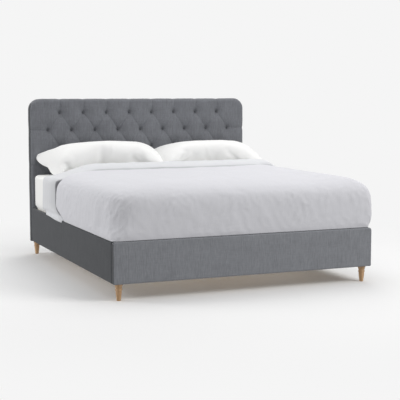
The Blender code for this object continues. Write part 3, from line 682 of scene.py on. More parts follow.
def cover_front():
    """The flat part of the headboard's front: its grid of (x, z) places, the grid's shape, the numbers of the
    places round its edge, and the way out at each of them."""
    corner = HEADBOARD_CORNER - HEADBOARD_EDGE
    half = cover_high.x - HEADBOARD_EDGE
    top, bottom = cover_high.z - HEADBOARD_EDGE, cover_low.z + HEADBOARD_EDGE
    arc = np.linspace(0, corner, 21)
    xs = np.concatenate([-half + arc[:-1], np.linspace(-half + corner, half - corner, int(2 * half / GRID)),
                         half - corner + arc[1:]])
    fine_rows = np.linspace(FINE_FROM, top - corner, int((top - corner - FINE_FROM) / GRID))
    zs = np.concatenate([np.linspace(bottom, FINE_FROM, 34)[:-1], fine_rows, top - corner + arc[1:]])
    x, z = np.meshgrid(xs, zs)
    for way in (-1, 1):
        a, b = x * way - (half - corner), z - (top - corner)
        near, share = (a > 0) & (b > 0), rounding(a, b)
        x = np.where(near, (half - corner + a * share) * way, x)
        z = np.where(near, top - corner + b * share, z)
    number = np.arange(x.size).reshape(x.shape)
    loop = np.concatenate([number[0, :], number[1:, -1], number[-1, -2::-1], number[-2:0:-1, 0]])
    flat = np.stack([x.ravel(), z.ravel()], 1)
    out = np.zeros((len(loop), 2))
    at = flat[loop]
    arc_x, arc_z = np.abs(at[:, 0]) - (half - corner), at[:, 1] - (top - corner)
    on_arc = (arc_x > 1e-6) & (arc_z > 1e-6)
    way_x = np.sign(at[:, 0])
    out[:, 0] = np.where(on_arc, arc_x * way_x, np.where(np.abs(at[:, 0]) > half - 1e-6, way_x, 0))
    way_z = np.where(at[:, 1] > top - 1e-6, 1, np.where(at[:, 1] < bottom + 1e-6, -1, 0))
    out[:, 1] = np.where(on_arc, arc_z, way_z)
    out[on_arc] /= np.linalg.norm(out[on_arc], axis=1)[:, None]
    return flat, x.shape, loop, out


def cover_layer(place, out, offset, y, angle):
    """One ring of the cover: its points, the ways they face, how far tufts reach there, and its places."""
    place = place + out * offset
    points = np.stack([place[:, 0], np.full(len(place), y), place[:, 1]], 1)
    ways = np.stack([out[:, 0] * math.sin(angle), np.full(len(place), -math.cos(angle)),
                     out[:, 1] * math.sin(angle)], 1)
    fade = 1.0 if angle <= math.pi / 2 else max(0.0, math.cos(angle - math.pi / 2)) ** 2
    return points, ways, np.full(len(place), fade), place


def headboard_cover():
    """The front with its tufts, the rounded edges, the sides and the part wrapped round to the back."""
    flat, shape, loop, out = cover_front()
    edge, front, back = HEADBOARD_EDGE, cover_low.y, cover_high.y
    rings = [(edge * math.sin(a), front + edge * (1 - math.cos(a)), a)
             for a in np.linspace(0, math.pi / 2, 9)[1:]]
    rings += [(edge, y, math.pi / 2) for y in np.linspace(front + edge, back - BACK_EDGE, 7)[1:]]
    rings += [(edge - BACK_EDGE * (1 - math.cos(a)), back - BACK_EDGE * (1 - math.sin(a)), math.pi / 2 + a)
              for a in np.linspace(0, math.pi / 2, 4)[1:]]
    rings += [(edge - BACK_EDGE - r, back, math.pi) for r in np.linspace(0, BACK_RETURN, 4)[1:]]
    layers = [cover_layer(flat, np.zeros_like(flat), 0.0, front, 0.0)]
    layers += [cover_layer(flat[loop], out, *ring) for ring in rings]
    points, ways, fades, fields = (np.concatenate(part) for part in zip(*layers))
    sink = tuft_sink(fields[:, 0], fields[:, 1])
    behind = smooth_step(points[:, 1], front + 0.020, back)
    room = EDGE_ROOM + (FRONT_ROOM - EDGE_ROOM) * np.clip(-ways[:, 1], 0, 1) ** 1.5
    sink = room * np.tanh(sink * (1 - 0.4 * behind) / room)
    swell = 0.0022 * (1 - behind)
    soft = 0.0012 * cloud(points, 0.09, seed=3) + 0.0004 * cloud(points, 0.022, seed=9)
    ripple = creases(points * (1, 1, 0.28), 0.05, seed=5) * 0.0005
    points = points - ways * ((sink - swell - soft - ripple) * fades)[:, None]
    quads = [grid_quads(*shape)]
    previous = loop
    for k in range(len(rings)):
        ring = len(flat) + k * len(loop) + np.arange(len(loop))
        quads.append(strip_quads(np.append(previous, previous[0]), np.append(ring, ring[0]))[:, ::-1])
        previous = ring
    cover = make_piece("headboard_upholstery", points, np.vstack(quads), grey_head_shaded, "bed_frame", "grey_linen")
    # painted shade in the hollow round each button, carried by the "fold" value
    set_painted_shade(cover, tuft_shade(fields[:, 0], fields[:, 1]) * fades)
    shade_sides(cover)
    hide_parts("headboard_cover", "headboard_foam")
    thicken(cover, COVER_THICKNESS)
    return cover


def headboard_buttons():
    """Domed covered buttons, sunk in their hollows."""
    profile = [(0.0002, 0.0), (0.0045, 0.0), (0.0085, 0.0010), (0.0106, 0.0028), (BUTTON_RADIUS, 0.0048),
               (0.0109, 0.0068), (0.0092, 0.0084), (0.0064, 0.0096), (0.0032, 0.0102), (0.0002, 0.0104)]
    dome, quads = turned(profile, 20, (0, 0, 0))
    buttons = []
    for x, z in itertools.chain(*button_rows()):
        depth = FRONT_ROOM * math.tanh(tuft_sink(np.array([x]), np.array([z]))[0] / FRONT_ROOM)
        placed = np.stack([x + dome[:, 0], cover_low.y + depth + 0.0015 - dome[:, 2], z + dome[:, 1]], 1)
        buttons.append((placed, quads[:, ::-1]))
    points, quads = gathered(buttons)
    made = make_piece("headboard_covered_buttons", points, quads, button_cloth_shaded, "bed_frame", "grey_linen")
    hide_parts("headboard_buttons")
    return made


def lining_staples():
    """Staples that hold the lining to the back of the headboard."""
    low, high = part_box("headboard_back_cover")
    inset, pitch = 0.012, 0.045
    places = []
    for z in np.arange(low.z + 0.05, high.z - 0.09, pitch):
        places += [(low.x + inset, z, 0), (high.x - inset, z, 0)]
    for x in np.arange(low.x + 0.10, high.x - 0.09, pitch):
        places += [(x, low.z + inset, 1), (x, high.z - inset, 1)]
    staples = []
    for x, z, along in places:
        a, b = (STAPLE_LONG, STAPLE_WIDE) if along else (STAPLE_WIDE, STAPLE_LONG)
        box_low, box_high = (x - a, high.y - 0.0002, z - b), (x + a, high.y + STAPLE_PROUD, z + b)
        staples.append(soft_box(box_low, box_high, 0.0002, 0.02))
    return make_piece("headboard_staples", *gathered(staples), zinc, "bed_frame", "zinc_steel")


headboard_cover()
headboard_buttons()
lining_staples()

# ---- rails


def rail_cover(node, outer, cloth, corner=None):
    """A padded rail in its stretched cloth. outer is the axis and way that its outside faces."""
    low, high = (np.array(v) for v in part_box(node))
    points, quads = soft_box(low, high, RAIL_EDGE, RAIL_STEP, corner)
    axis, way = outer
    other = 1 - axis
    normal = normals_of(points, quads)
    along = (points[:, other] - low[other]) / (high[other] - low[other])
    up = (points[:, 2] - low[2]) / (high[2] - low[2])
    face = np.clip(normal[:, axis] * way, 0, 1)
    crown = (1 - np.abs(2 * along - 1) ** 16) * (1 - np.abs(2 * up - 1) ** 3)
    soft = 0.0006 * cloud(points, 0.11, seed=11) + 0.0005 * creases(points * (1, 1, 0.4), 0.06, seed=4)
    rise = np.clip(normal[:, 2], 0, 1) * 0.0004 * cloud(points, 0.10, seed=15)
    points[:, axis] += way * face * (0.0026 * crown + soft)
    points[:, 2] += rise
    made = make_piece(node + "_cloth", points, quads, cloth, "bed_frame", "grey_linen")
    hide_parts(node)
    shade_sides(made)
    return made


rail_cover("foot_rail_cover", (1, -1), grey, ((0, 2), 0.018, ((-1, 1), (1, 1))))
# the side rails are wholly in the painted-shade copy of the linen
rail_cover("side_rail_left_cover", (0, -1), grey_side_shaded)
rail_cover("side_rail_right_cover", (0, 1), grey_side_shaded)

# ---- legs

# radius and height, from the floor up
LEG_PROFILE = [(0.0002, 0.0), (0.0118, 0.0), (0.0130, 0.0012), (0.0142, 0.006), (0.0157, 0.018),
               (0.0176, 0.034), (0.0193, 0.048), (0.0200, 0.056), (0.0198, 0.0615), (0.0190, 0.0640),
               (0.0189, 0.0650), (0.0212, 0.0662),
               (0.0229, 0.0685), (0.0236, 0.0715), (0.0231, 0.0748), (0.0215, 0.0775), (0.0204, 0.0786),
               (0.0203, 0.0800), (0.0213, 0.0818), (0.0220, 0.0870), (0.0232, 0.0930), (0.0254, 0.0990),
               (0.0270, 0.1030), (0.0277, 0.1070), (0.0279, 0.1108), (0.0275, 0.1114), (0.0002, 0.1114)]

for node in ("leg_front_left", "leg_front_right", "leg_rear_left", "leg_rear_right"):
    low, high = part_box(node)
    profile = np.vstack([LEG_PROFILE[:1], spline(LEG_PROFILE[1:-1], LEG_RINGS), LEG_PROFILE[-1:]])
    points, quads = turned(profile, LEG_STEPS, ((low.x + high.x) / 2, (low.y + high.y) / 2, low.z))
    if "rear" in node:
        points[:, 1] = np.minimum(points[:, 1], high.y)
    leg = make_piece(node + "_turned", points, quads, oak, "bed_frame", "oak")
    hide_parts(node)

# ---- mattress

mattress_low, mattress_high = (np.array(v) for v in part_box("mattress_cover"))


def mattress():
    head_corners = ((0, 1), MATTRESS_HEAD_CORNER, ((-1, 1), (1, 1)))
    foot_corners = ((0, 1), MATTRESS_FOOT_CORNER, ((-1, -1), (1, -1)))
    points, quads = soft_box(mattress_low, mattress_high, MATTRESS_EDGE, MATTRESS_STEP, head_corners)
    points = rounder(points, mattress_low, mattress_high, *foot_corners)
    normal = normals_of(points, quads)
    x, y, z = points.T
    u = np.abs(x) / mattress_high[0]
    v = np.abs(y - (mattress_low[1] + mattress_high[1]) / 2) / ((mattress_high[1] - mattress_low[1]) / 2)
    up = np.clip(normal[:, 2], 0, 1)
    level = (z - mattress_low[2]) / (mattress_high[2] - mattress_low[2])
    z -= up * (0.0035 * np.maximum(u, v) ** 6 + 0.0012 * (1 + cloud(points, 0.30, seed=21)))
    side = 1 - np.abs(normal[:, 2])
    pull = creases(points * (1, 1, 0.25), 0.05, seed=23) * smooth_step(np.maximum(u, v), 0.90, 1.0)
    hollow = 0.0012 * (1 - np.sin(np.clip(level, 0, 1) * math.pi)) + 0.0012 * pull
    points[:, :2] -= normal[:, :2] * (side * hollow)[:, None]
    over_rails = smooth_step(z, 0.386, 0.402)
    x *= 1 + 0.0180 / mattress_high[0] * over_rails * smooth_step(y, 0.46, 0.60)
    y += 0.014 * over_rails * smooth_step(y, 0.2, mattress_high[1])
    made = make_piece("mattress_knit_cover", points, quads, ticking, "mattress", "mattress_ticking")
    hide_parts("mattress_cover", "mattress_foam", "mattress_springs")
    return made


mattress()

# ---- bedding


def plan(i, j, columns, rows, turn, half, foot, head, radii):
    """(x, y) of grid place (i, j) on a rectangle whose two foot corners are round. radii is (left, right)."""
    i, j = np.asarray(i, float), np.asarray(j, float)
    left, right = np.clip(turn - i, 0, turn) / turn, np.clip(i - (columns - turn), 0, turn) / turn
    b = np.clip(turn - j, 0, turn) / turn
    across = np.clip((i - turn) / (columns - 2 * turn), 0, 1)
    radius = radii[0] + (radii[1] - radii[0]) * across
    x = radii[0] - half + across * (2 * half - radii[0] - radii[1])
    y = foot + radius + np.clip((j - turn) / (rows - turn), 0, 1) * (head - foot - radius)
    a = np.maximum(left, right)
    share = rounding(a, b)
    way = np.where(right > 0, 1.0, -1.0)
    return x + way * a * share * radius, y - b * share * radius


def cap(columns, rows, turn, rings):
    """A cap over the mattress, open at the head end. rings is (half width, foot, head, corner radii, height)
    from the middle of the top outwards and down. Gives points, quads and the numbers of the head edge, from
    left hem to right, and of the hem."""

    def placed(i, j, half, foot, head, radii, height):
        x, y = plan(i, j, columns, rows, turn, half, foot, head, radii)
        return np.stack([x, y, np.full(len(x), height)], 1)

    i, j = np.meshgrid(np.arange(columns + 1), np.arange(rows + 1))
    number = np.arange(i.size).reshape(i.shape)
    loop, loop_i, loop_j = (np.concatenate([g[:0:-1, 0], g[0, :], g[1:, -1]]) for g in (number, i, j))
    points = [placed(i.ravel(), j.ravel(), *rings[0])]
    quads = [grid_quads(rows + 1, columns + 1)]
    previous, count = loop, i.size
    left, right = [], []
    for level in rings[1:]:
        points.append(placed(loop_i, loop_j, *level))
        ring = count + np.arange(len(loop))
        quads.append(strip_quads(previous, ring)[:, ::-1])
        left.append(ring[0])
        right.append(ring[-1])
        previous, count = ring, count + len(loop)
    head_edge = np.array([*left[::-1], *number[-1, :], *right])
    return np.vstack(points), np.vstack(quads), head_edge, previous


duvet_low, duvet_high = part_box("duvet")
sheet_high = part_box("flat_sheet")[1]
rail_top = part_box("side_rail_left_cover")[1].z

LEAD_INSET = 0.018  # from the duvet's CAD box to the middle of its lead edge
LEAD_CURVE = 0.072  # how far the lead edge lies back at the sides of the bed
HEM_CURVE = 0.20  # how far it lies back once more down at the hem
RIGHT_SWEEP = 0.16  # how far it lies back once more at the right side
DUVET_HALF, INSIDE_HALF, SHEET_HALF = 0.9550, 0.9225, 0.9188  # half widths on the mattress's sides

# half width, height, left and right corner radius, from the middle of the top to the hem
DUVET_OUTSIDE = [(0.550, 0.7360, 0.10, 0.05), (0.640, 0.7350, 0.12, 0.06), (0.720, 0.7310, 0.14, 0.06),
                 (0.790, 0.7235, 0.16, 0.06), (0.845, 0.7120, 0.175, 0.06), (0.884, 0.6990, 0.18, 0.06),
                 (0.912, 0.6820, 0.19, 0.06), (0.934, 0.6580, 0.195, 0.055), (0.947, 0.6250, 0.20, 0.055),
                 (0.953, 0.5800, 0.20, 0.05), (0.9550, 0.5200, 0.18, 0.05), (0.9545, 0.4650, 0.14, 0.05),
                 (0.9525, 0.4200, 0.09, 0.05), (0.9495, 0.3864, 0.05, 0.05)]
DUVET_INSIDE = [(0.550, 0.6690, 0.10, 0.04), (0.660, 0.6690, 0.12, 0.04), (0.760, 0.6690, 0.14, 0.05),
                (0.830, 0.6690, 0.15, 0.055), (0.865, 0.6690, 0.15, 0.055), (0.885, 0.6682, 0.15, 0.055),
                (0.901, 0.6655, 0.15, 0.055), (0.9125, 0.6565, 0.15, 0.055), (0.9205, 0.6420, 0.15, 0.055),
                (0.9225, 0.6150, 0.15, 0.055), (0.9225, 0.5400, 0.14, 0.05), (0.9225, 0.4650, 0.12, 0.05),
                (0.9290, 0.4200, 0.08, 0.05), (0.9400, 0.3890, 0.05, 0.05)]
SHEET_BASE = [(0.550, 0.6644, 0.10, 0.04), (0.660, 0.6644, 0.12, 0.04), (0.760, 0.6644, 0.13, 0.05),
              (0.830, 0.6644, 0.14, 0.055), (0.862, 0.6644, 0.14, 0.055), (0.880, 0.6641, 0.14, 0.055),
              (0.8965, 0.6618, 0.14, 0.055), (0.9082, 0.6545, 0.14, 0.055), (0.9165, 0.6415, 0.14, 0.055),
              (0.9185, 0.6150, 0.14, 0.055), (0.9188, 0.5400, 0.13, 0.055), (0.9188, 0.4700, 0.12, 0.055),
              (0.9188, 0.4300, 0.10, 0.055)]
SHEET_IN_GAP = [(0.9188, 0.4200), (0.9186, 0.4080), (0.9184, 0.3970), (0.9180, 0.3870), (0.9178, 0.3770),
                (0.9178, 0.3680)]
SHEET_OVER_RAIL = [(0.9235, 0.4140), (0.9290, 0.4040), (0.9370, 0.3950), (0.9450, 0.3890), (0.9512, 0.3850),
                   (0.9545, 0.3790)]


def lead_back(across):
    """How far the duvet's lead edge lies back at this distance from the bed's middle."""
    return LEAD_CURVE * smooth_step(across, 0.70, 0.935)


def sweep(x):
    """How far it lies back once more at the right side."""
    return RIGHT_SWEEP * smooth_step(x, 0.76, 0.95)


def hem_back(z):
    """How far it lies back once more near the hem."""
    return HEM_CURVE * (1 - smooth_step(z, duvet_low.z, 0.500)) ** 1.6


def duvet_relief(points, normal, lead_line):
    """How far filling and creases push the duvet's outer side out. lead_line is the lead edge's y beside each
    point."""
    x, y, z = points.T
    up, front, side = np.clip(normal[:, 2], 0, 1), np.clip(-normal[:, 1], 0, 1), np.abs(normal[:, 0])
    drop = smooth_step(0.74 - z, 0.03, 0.10)
    bent = wandering(points, 0.11, 0.020, seed=40)
    bx, by, bz = bent.T
    slant = np.stack([bx + 0.45 * bz, by + 0.30 * bz, bz * 0.16], 1)
    other_slant = np.stack([bx - 0.7 * bz, by, bz * 0.20], 1)
    patch = smooth_step(cloud(points, 0.22, seed=60, octaves=2), -0.25, 0.35)
    other_patch = smooth_step(cloud(points, 0.26, seed=66, octaves=2), -0.15, 0.40)
    height = 0.0035 * cloud(points * (1, 0.8, 1), 0.42, seed=31, octaves=2) * up
    height += 0.0022 * cloud(points, 0.16, seed=35, octaves=2)
    height += 0.0052 * creases(slant, 0.052, seed=41) * (0.35 + 0.65 * patch) * drop
    height += 0.0046 * creases(other_slant, 0.058, seed=43) * other_patch * drop
    height += 0.0022 * creases(bent * (1, 1, 0.3), 0.026, seed=45) * drop * (0.4 + 0.6 * other_patch)
    height += 0.0012 * creases(bent * (0.8, 0.3, 1), 0.11, seed=47) * up * patch
    shoulder = np.exp(-(((z - 0.700) / 0.022) ** 2))
    across = np.stack([bx + 0.9 * by, (by - 0.9 * bx) * 0.3, bz], 1)
    height += 0.0026 * creases(across, 0.06, seed=49) * shoulder * front**0.5 * patch
    on_left = (x < 0) * side * smooth_step(0.70 - z, 0.0, 0.10)
    lean = y + 0.25 * (z - 0.55)  # one long fold near the foot corner, and a hollow before it
    height += 0.0050 * np.exp(-(((lean + 0.750) / 0.020) ** 2)) * on_left
    height -= 0.0120 * smooth_step(-lean, 0.760, 0.860) * on_left * smooth_step(z, 0.40, 0.46)
    near_hem = smooth_step(z, duvet_low.z, duvet_low.z + 0.030)
    near_lead = smooth_step(lead_line - y, 0.0, 0.05)
    height *= (0.15 + 0.85 * near_hem) * (0.35 + 0.65 * near_lead)
    lower_left = 0.0090 * smooth_step(-x, 0.50, 0.76)
    height -= (1 - near_lead) * (0.0010 * side * near_hem + (0.0045 + lower_left) * up)
    return height


def duvet():
    """Gives the points of its outer side, which the sheet lies against."""
    columns, rows, turn, count = 160, 132, 22, 84
    lead, foot = duvet_high.y - LEAD_INSET, duvet_low.y - 0.0050
    inner_foot = mattress_low[1] - 0.0075
    outside, inside = spline(DUVET_OUTSIDE, count), spline(DUVET_INSIDE, count)
    heads = lead - hem_back(outside[:, 1]) - lead_back(outside[:, 0])
    outer_rings = [(w, foot + (DUVET_HALF - w), h, r, z) for (w, z, *r), h in zip(outside, heads)]
    inner_rings = [(w, inner_foot + (INSIDE_HALF - w), h, r, z) for (w, z, *r), h in zip(inside, heads)]
    points, quads, edge, hem = cap(columns, rows, turn, outer_rings)
    lower, lower_quads, lower_edge, lower_hem = cap(columns, rows, turn, inner_rings)
    ramp_up = smooth_step(lower[:, 1], 0.06, 0.30) * (1 - smooth_step(np.abs(lower[:, 0]), 0.70, 0.90))
    lower[:, 2] += 0.031 * ramp_up * (lower[:, 2] > 0.64)
    at_corner = np.exp(-((np.hypot(np.abs(points[:, 0]) - 0.82, points[:, 1] + 0.93) / 0.22) ** 4))
    points = relaxed(points, quads, at_corner * smooth_step(points[:, 2], 0.40, 0.50), 50)
    for x, y, _ in (points.T, lower.T):
        y -= sweep(x) * smooth_step(y, -0.40, 0.30)
    x, y, z = points.T
    fuller = smooth_step(x, 0.50, 0.84)
    z += 0.0150 * fuller * smooth_step(z, 0.45, 0.67)
    x += 0.0120 * fuller * smooth_step(z, 0.395, 0.47)
    normal = normals_of(points, quads)
    lead_line = np.interp(z, outside[::-1, 1], heads[::-1]) - sweep(x)
    moved = points + normal * duvet_relief(points, normal, lead_line)[:, None]
    wave = 0.0060 * cloud(points * (1, 0, 0), 0.30, seed=52, octaves=2)
    moved[:, 2] += wave * (1 - smooth_step(lead - y, 0.0, 0.12)) * np.clip(normal[:, 2], 0, 1)
    lead_wave = 0.006 * cloud(points * (1, 0, 1), 0.30, seed=54, octaves=2)
    moved[:, 1] += (lead_wave - 0.003) * (1 - smooth_step(lead - y, 0.0, 0.20))
    by_x = np.argsort(moved[edge, 0])
    edge_shift = np.interp(lower[:, 0], moved[edge, 0][by_x], (moved[edge, 1] - points[edge, 1])[by_x])
    lower[:, 1] += edge_shift * (1 - smooth_step(lead - lower[:, 1], 0.0, 0.20))
    skin, total = Skin(moved, quads), len(points)
    skin.add(lower, (lower_quads + total)[:, ::-1])
    previous = skin.rolled(moved[edge], lower[lower_edge], np.linspace(0, math.pi, 9)[1:-1], 1.0, edge)
    skin.quads += [strip_quads(previous, lower_edge + total), strip_quads(hem, lower_hem + total)[:, ::-1]]
    made = make_piece("linen_duvet", *skin.made(), duvet_cloth, "bedding", "duvet_linen")
    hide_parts("duvet")
    return moved


def shade_by_duvet(made, duvet_side):
    """Paints shade on the sheet: a dark line where it dips under the duvet's lead edge, and a softer painted
    shadow beside it.
    """
    places = np.zeros(len(made.data.vertices) * 3)
    made.data.vertices.foreach_get("co", places)
    places = places.reshape(-1, 3)
    near_duvet = KDTree(len(duvet_side))
    for number, place in enumerate(duvet_side):
        near_duvet.insert(place, number)
    near_duvet.balance()
    away = np.array([near_duvet.find(place)[2] for place in places])
    at_side = smooth_step(0.69 - places[:, 2], 0.0, 0.04)
    overhung = at_side * smooth_step(places[:, 2], 0.40, 0.50)
    line = 1 - smooth_step(away - 0.014 * (1 - at_side) - 0.030 * overhung, 0.010, 0.034)
    shadow = np.exp(-((away / (0.035 + 0.145 * overhung)) ** 1.6))
    # painted shade: a dark line in the crease by the duvet's edge, and the soft shadow that edge would cast
    dark = (0.40 + 0.20 * at_side) * line + (0.22 + 0.06 * at_side) * shadow
    set_painted_shade(made, dark * (places[:, 1] > -0.10))


def flat_sheet(duvet_side):
    """Over the mattress and under the duvet, with its head end folded back in a roll on the duvet."""
    columns, rows, turn, count = 150, 190, 16, 60
    head_middle, head_side = sheet_high.y - 0.040, sheet_high.y - 0.003
    foot = mattress_low[1] - 0.0038
    base = spline(SHEET_BASE, count)

    def rings(tail):
        profile = np.vstack([base, [(w, z, 0.08, 0.055) for w, z in tail]])
        return [(w, foot + (SHEET_HALF - w), head_side, r, z) for w, z, *r in profile]

    points, quads, edge, _ = cap(columns, rows, turn, rings(SHEET_IN_GAP))
    over = cap(columns, rows, turn, rings(SHEET_OVER_RAIL))[0]
    out_here = smooth_step(points[:, 1], -0.06, 0.16) * (1 - smooth_step(points[:, 1], 0.52, 0.72))
    points += (over - points) * (out_here * (np.abs(points[:, 0]) > 0.9))[:, None]
    x, y, z = points.T
    past_rail_inside, past_rail_edge = np.abs(x) > 0.9192, np.abs(x) > 0.9515
    z[:] = np.where(past_rail_inside & ~past_rail_edge, np.maximum(z, rail_top + 0.0028), z)
    normal = normals_of(points, quads)
    left_fall, right_fall = smooth_step(-x, 0.55, 0.93), smooth_step(x, 0.84, 0.945)
    level = np.where(z > 0.60, 1 - left_fall - right_fall, 0)
    from_lead = y + sweep(x)
    along = from_lead + lead_back(-x)
    roll = np.sqrt(1 - np.clip((0.485 - along) / 0.153, 0, 1) ** 2)
    rise = 0.002 + 0.024 * smooth_step(along, 0.12, 0.32) + 0.073 * roll
    lift = SHEET_LIFT + (rise - 0.014 * smooth_step(along, 0.50, 0.64)) * level
    bent = wandering(points, 0.12, 0.015, seed=80)
    shown = smooth_step(y, 0.33, 0.42)
    puff = 0.0050 * cloud(points, 0.17, seed=71, octaves=2)
    puff += 0.0025 * creases(bent * (1, 0.5, 1), 0.09, seed=72)
    lift += puff * shown * level
    strip = smooth_step(0.67 - z, 0.0, 0.05)
    over_rail = smooth_step(0.42 - z, 0.0, 0.03)
    past_edge = from_lead - (duvet_high.y - LEAD_INSET - LEAD_CURVE - hem_back(z))
    at_side = smooth_step(0.675 - z, 0.0, 0.03) * (1 - over_rail)
    lift += 0.0270 * smooth_step(past_edge, 0.014, 0.046) * at_side
    folds = 0.0050 * creases(bent * (1, 1, 0.10), 0.060, seed=74)
    folds += 0.0020 * creases(bent * (1, 1, 0.14), 0.03, seed=75)
    lift += folds * strip * shown * (1 - over_rail)
    moved = points + normal * lift[:, None]
    moved[:, 2] += over_rail * past_rail_edge * (0.006 - 0.014 * smooth_step(0.56 - y, 0.0, 0.34))
    moved[:, 1] -= (head_side - head_middle) * (1 - left_fall - right_fall) * smooth_step(y, 0.30, head_side)
    moved[:, 1] += 0.004 * cloud(points * (1, 0, 1), 0.28, seed=78) * smooth_step(y, 0.45, head_side)
    top, below = moved[edge], points[edge] + normal[edge] * SHEET_LIFT
    below[:, 1] = top[:, 1]
    skin = Skin(moved, quads)
    previous = skin.rolled(top, below, np.linspace(0, math.pi, 15)[1:], 0.85, edge)
    for back in np.linspace(0, FOLD_RETURN, 26)[1:]:
        previous = skin.row(below - (0, back, 0), previous)
    made = make_piece("cotton_flat_sheet", *skin.made(), sheet_cloth, "bedding", "sheet_cotton")
    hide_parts("flat_sheet")
    thicken(made, SHEET_THICKNESS)
    shade_by_duvet(made, duvet_side)
    return made


flat_sheet(duvet())

# ---- pillows


def inflated(case):
    """The points of a flat case after air pressure has filled it."""
    cloth = case.modifiers.new("cloth", "CLOTH")
    cloth.settings.quality = 6
    cloth.settings.mass = 0.25
    cloth.settings.tension_stiffness = cloth.settings.compression_stiffness = 25
    cloth.settings.shear_stiffness = 12
    cloth.settings.bending_stiffness = 0.4
    cloth.settings.use_pressure = True
    cloth.settings.uniform_pressure_force = 5.0
    cloth.settings.effector_weights.gravity = 0
    cloth.collision_settings.use_collision = False
    cloth.point_cache.frame_start, cloth.point_cache.frame_end = 1, 30
    for step in range(1, 27):
        bpy.context.scene.frame_set(step)
    shaped = case.evaluated_get(bpy.context.evaluated_depsgraph_get()).to_mesh()
    found = np.zeros(len(shaped.vertices) * 3)
    shaped.vertices.foreach_get("co", found)
    bpy.context.scene.frame_set(1)
    return found.reshape(-1, 3)


def blown_up(width, depth, seed):
    """A pillowcase of two flat panels, filled until it is taut."""
    columns, rows = 92, 44
    u, v = np.meshgrid(np.linspace(-1, 1, columns + 1), np.linspace(-1, 1, rows + 1))
    u, v = u.ravel(), v.ravel()
    cut = 1 - 0.035 * u**6 * v**6
    flat = np.stack([u * cut * width / 2, v * cut * depth / 2, np.zeros(len(u))], 1)
    flat[:, 0] *= 1 + 0.035 * (1 - v**2) * u**4
    lift = (1 - u**4) * (1 - v**4)
    rough = 0.004 * cloud(flat, 0.09, seed=seed) * lift
    above, below = flat.copy(), flat.copy()
    above[:, 2] = 0.012 * lift + rough
    below[:, 2] = -0.012 * lift + rough * 0.5
    quads = grid_quads(rows + 1, columns + 1)
    points, quads = weld(*gathered([(above, quads), (below, quads[:, ::-1])]))
    case = place_object("case", points, quads.tolist())
    points = inflated(case)
    mesh = case.data
    bpy.data.objects.remove(case)
    bpy.data.meshes.remove(mesh)
    return points, quads


def pillow(name, centre, size, fold, skew, droop, seed):
    """fold is where the pillow was once folded, skew is how far the front corners lie to the right of the back
    ones, and droop is how far the ends hang, each for the left and the right end."""
    points, quads = blown_up(size[0] * CASE_SLACK[0], size[1] * CASE_SLACK[1], seed)
    points = relaxed(points, quads, np.full(len(points), 0.5), 8)
    span = points.max(0) - points.min(0)
    points = (points - (points.max(0) + points.min(0)) / 2) * (np.array(size) / span)
    x, y, z = points.T
    end, edge = x / (size[0] / 2), y / (size[1] / 2)
    to_left = end < 0
    z *= (1 - 0.95 * np.clip(np.abs(end), 0, 1) ** 5.0) ** 0.50
    x *= 1 - 0.050 * np.where(to_left, np.clip(-edge, 0, 1), edge) ** 2 * end**4
    forward = (1 - edge) / 2
    x += np.where(to_left, skew[0] * forward, skew[1] * forward**2) * np.abs(end) ** 3
    z -= np.where(to_left, droop[0], droop[1]) * np.abs(end) ** 4.5
    wander = wandering(points, 0.10, 0.02, seed)
    soft = 0.0045 * cloud(points, 0.20, seed=seed + 5, octaves=2)
    pleat = 0.0016 * creases(wander * (1, 0.30, 1), 0.075, seed=seed + 7)
    pleat *= smooth_step(np.abs(edge), 0.3, 1.0)
    fine = 0.0006 * creases(wander * (1, 0.5, 1), 0.035, seed=seed + 9)
    ridge = 0.0080 * np.exp(-(((wander[:, 0] - fold) / 0.010) ** 2)) * smooth_step(-edge, -0.10, 0.40)
    z += np.sign(z) * (soft + (pleat + fine + ridge) * (1 - np.abs(edge) ** 8))
    a = math.radians(PILLOW_TILT)
    tilted = np.array([[1, 0, 0], [0, math.cos(a), -math.sin(a)], [0, math.sin(a), math.cos(a)]])
    points = points @ tilted.T + np.array(centre)
    rest, wall = mattress_high[2] + PILLOW_GAP, cover_low.y - WALL_GAP
    points[:, 2] = rest + np.logaddexp(0, (points[:, 2] - rest) / SOFT_TOUCH) * SOFT_TOUCH
    points[:, 1] = wall - np.logaddexp(0, (wall - points[:, 1]) / SOFT_TOUCH) * SOFT_TOUCH
    made = make_piece(name, points, quads, pillow_cloth, name.replace("_plump", ""), "pillow_cotton")
    finer = made.modifiers.new("finer", "SUBSURF")
    finer.levels = finer.render_levels = 1
    return made


left = pillow("pillow_left_plump", (-0.378, 0.842, 0.802), (1.100, 0.400, 0.265), 0.02,
              (0.12, 0.02), (0.095, 0.100), 101)
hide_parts("pillow_left_case", "pillow_left_filling")
right = pillow("pillow_right_plump", (0.518, 0.842, 0.796), (0.975, 0.400, 0.256), -0.02,
               (-0.02, 0.029), (0.075, 0.012), 131)
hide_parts("pillow_right_case", "pillow_right_filling")

# ---- the frame's own materials


def timber(node):
    """Pine whose grain runs the long way of a part."""
    if node.startswith(("slat_ledger", "centre_beam")):
        return pine_long
    if node.startswith(("centre_leg", "corner_block", "headboard_stile")):
        return pine_upright
    return pine


for node, part in frame["nodes"].items():
    chosen = timber(node) if slot_of[node] == "pine" else by_slot.get(slot_of[node])
    part.data.materials.clear()
    part.data.materials.append(chosen)

# ---- floor, light, camera

PALE = linear(245, 245, 245)
FLOOR_TONE = (0.95, 0.95, 0.95, 1)
FLOOR_FADE = (1.2, 3.4)  # metres from the middle of the bed
DOME = 60.0
SKY_STRENGTH = 0.45
LENS = 94.77
CAMERA_PLACE = (-2.9977, -7.3689, 1.3445)
CAMERA_DEGREES = (84.018, 0.0, -22.847)


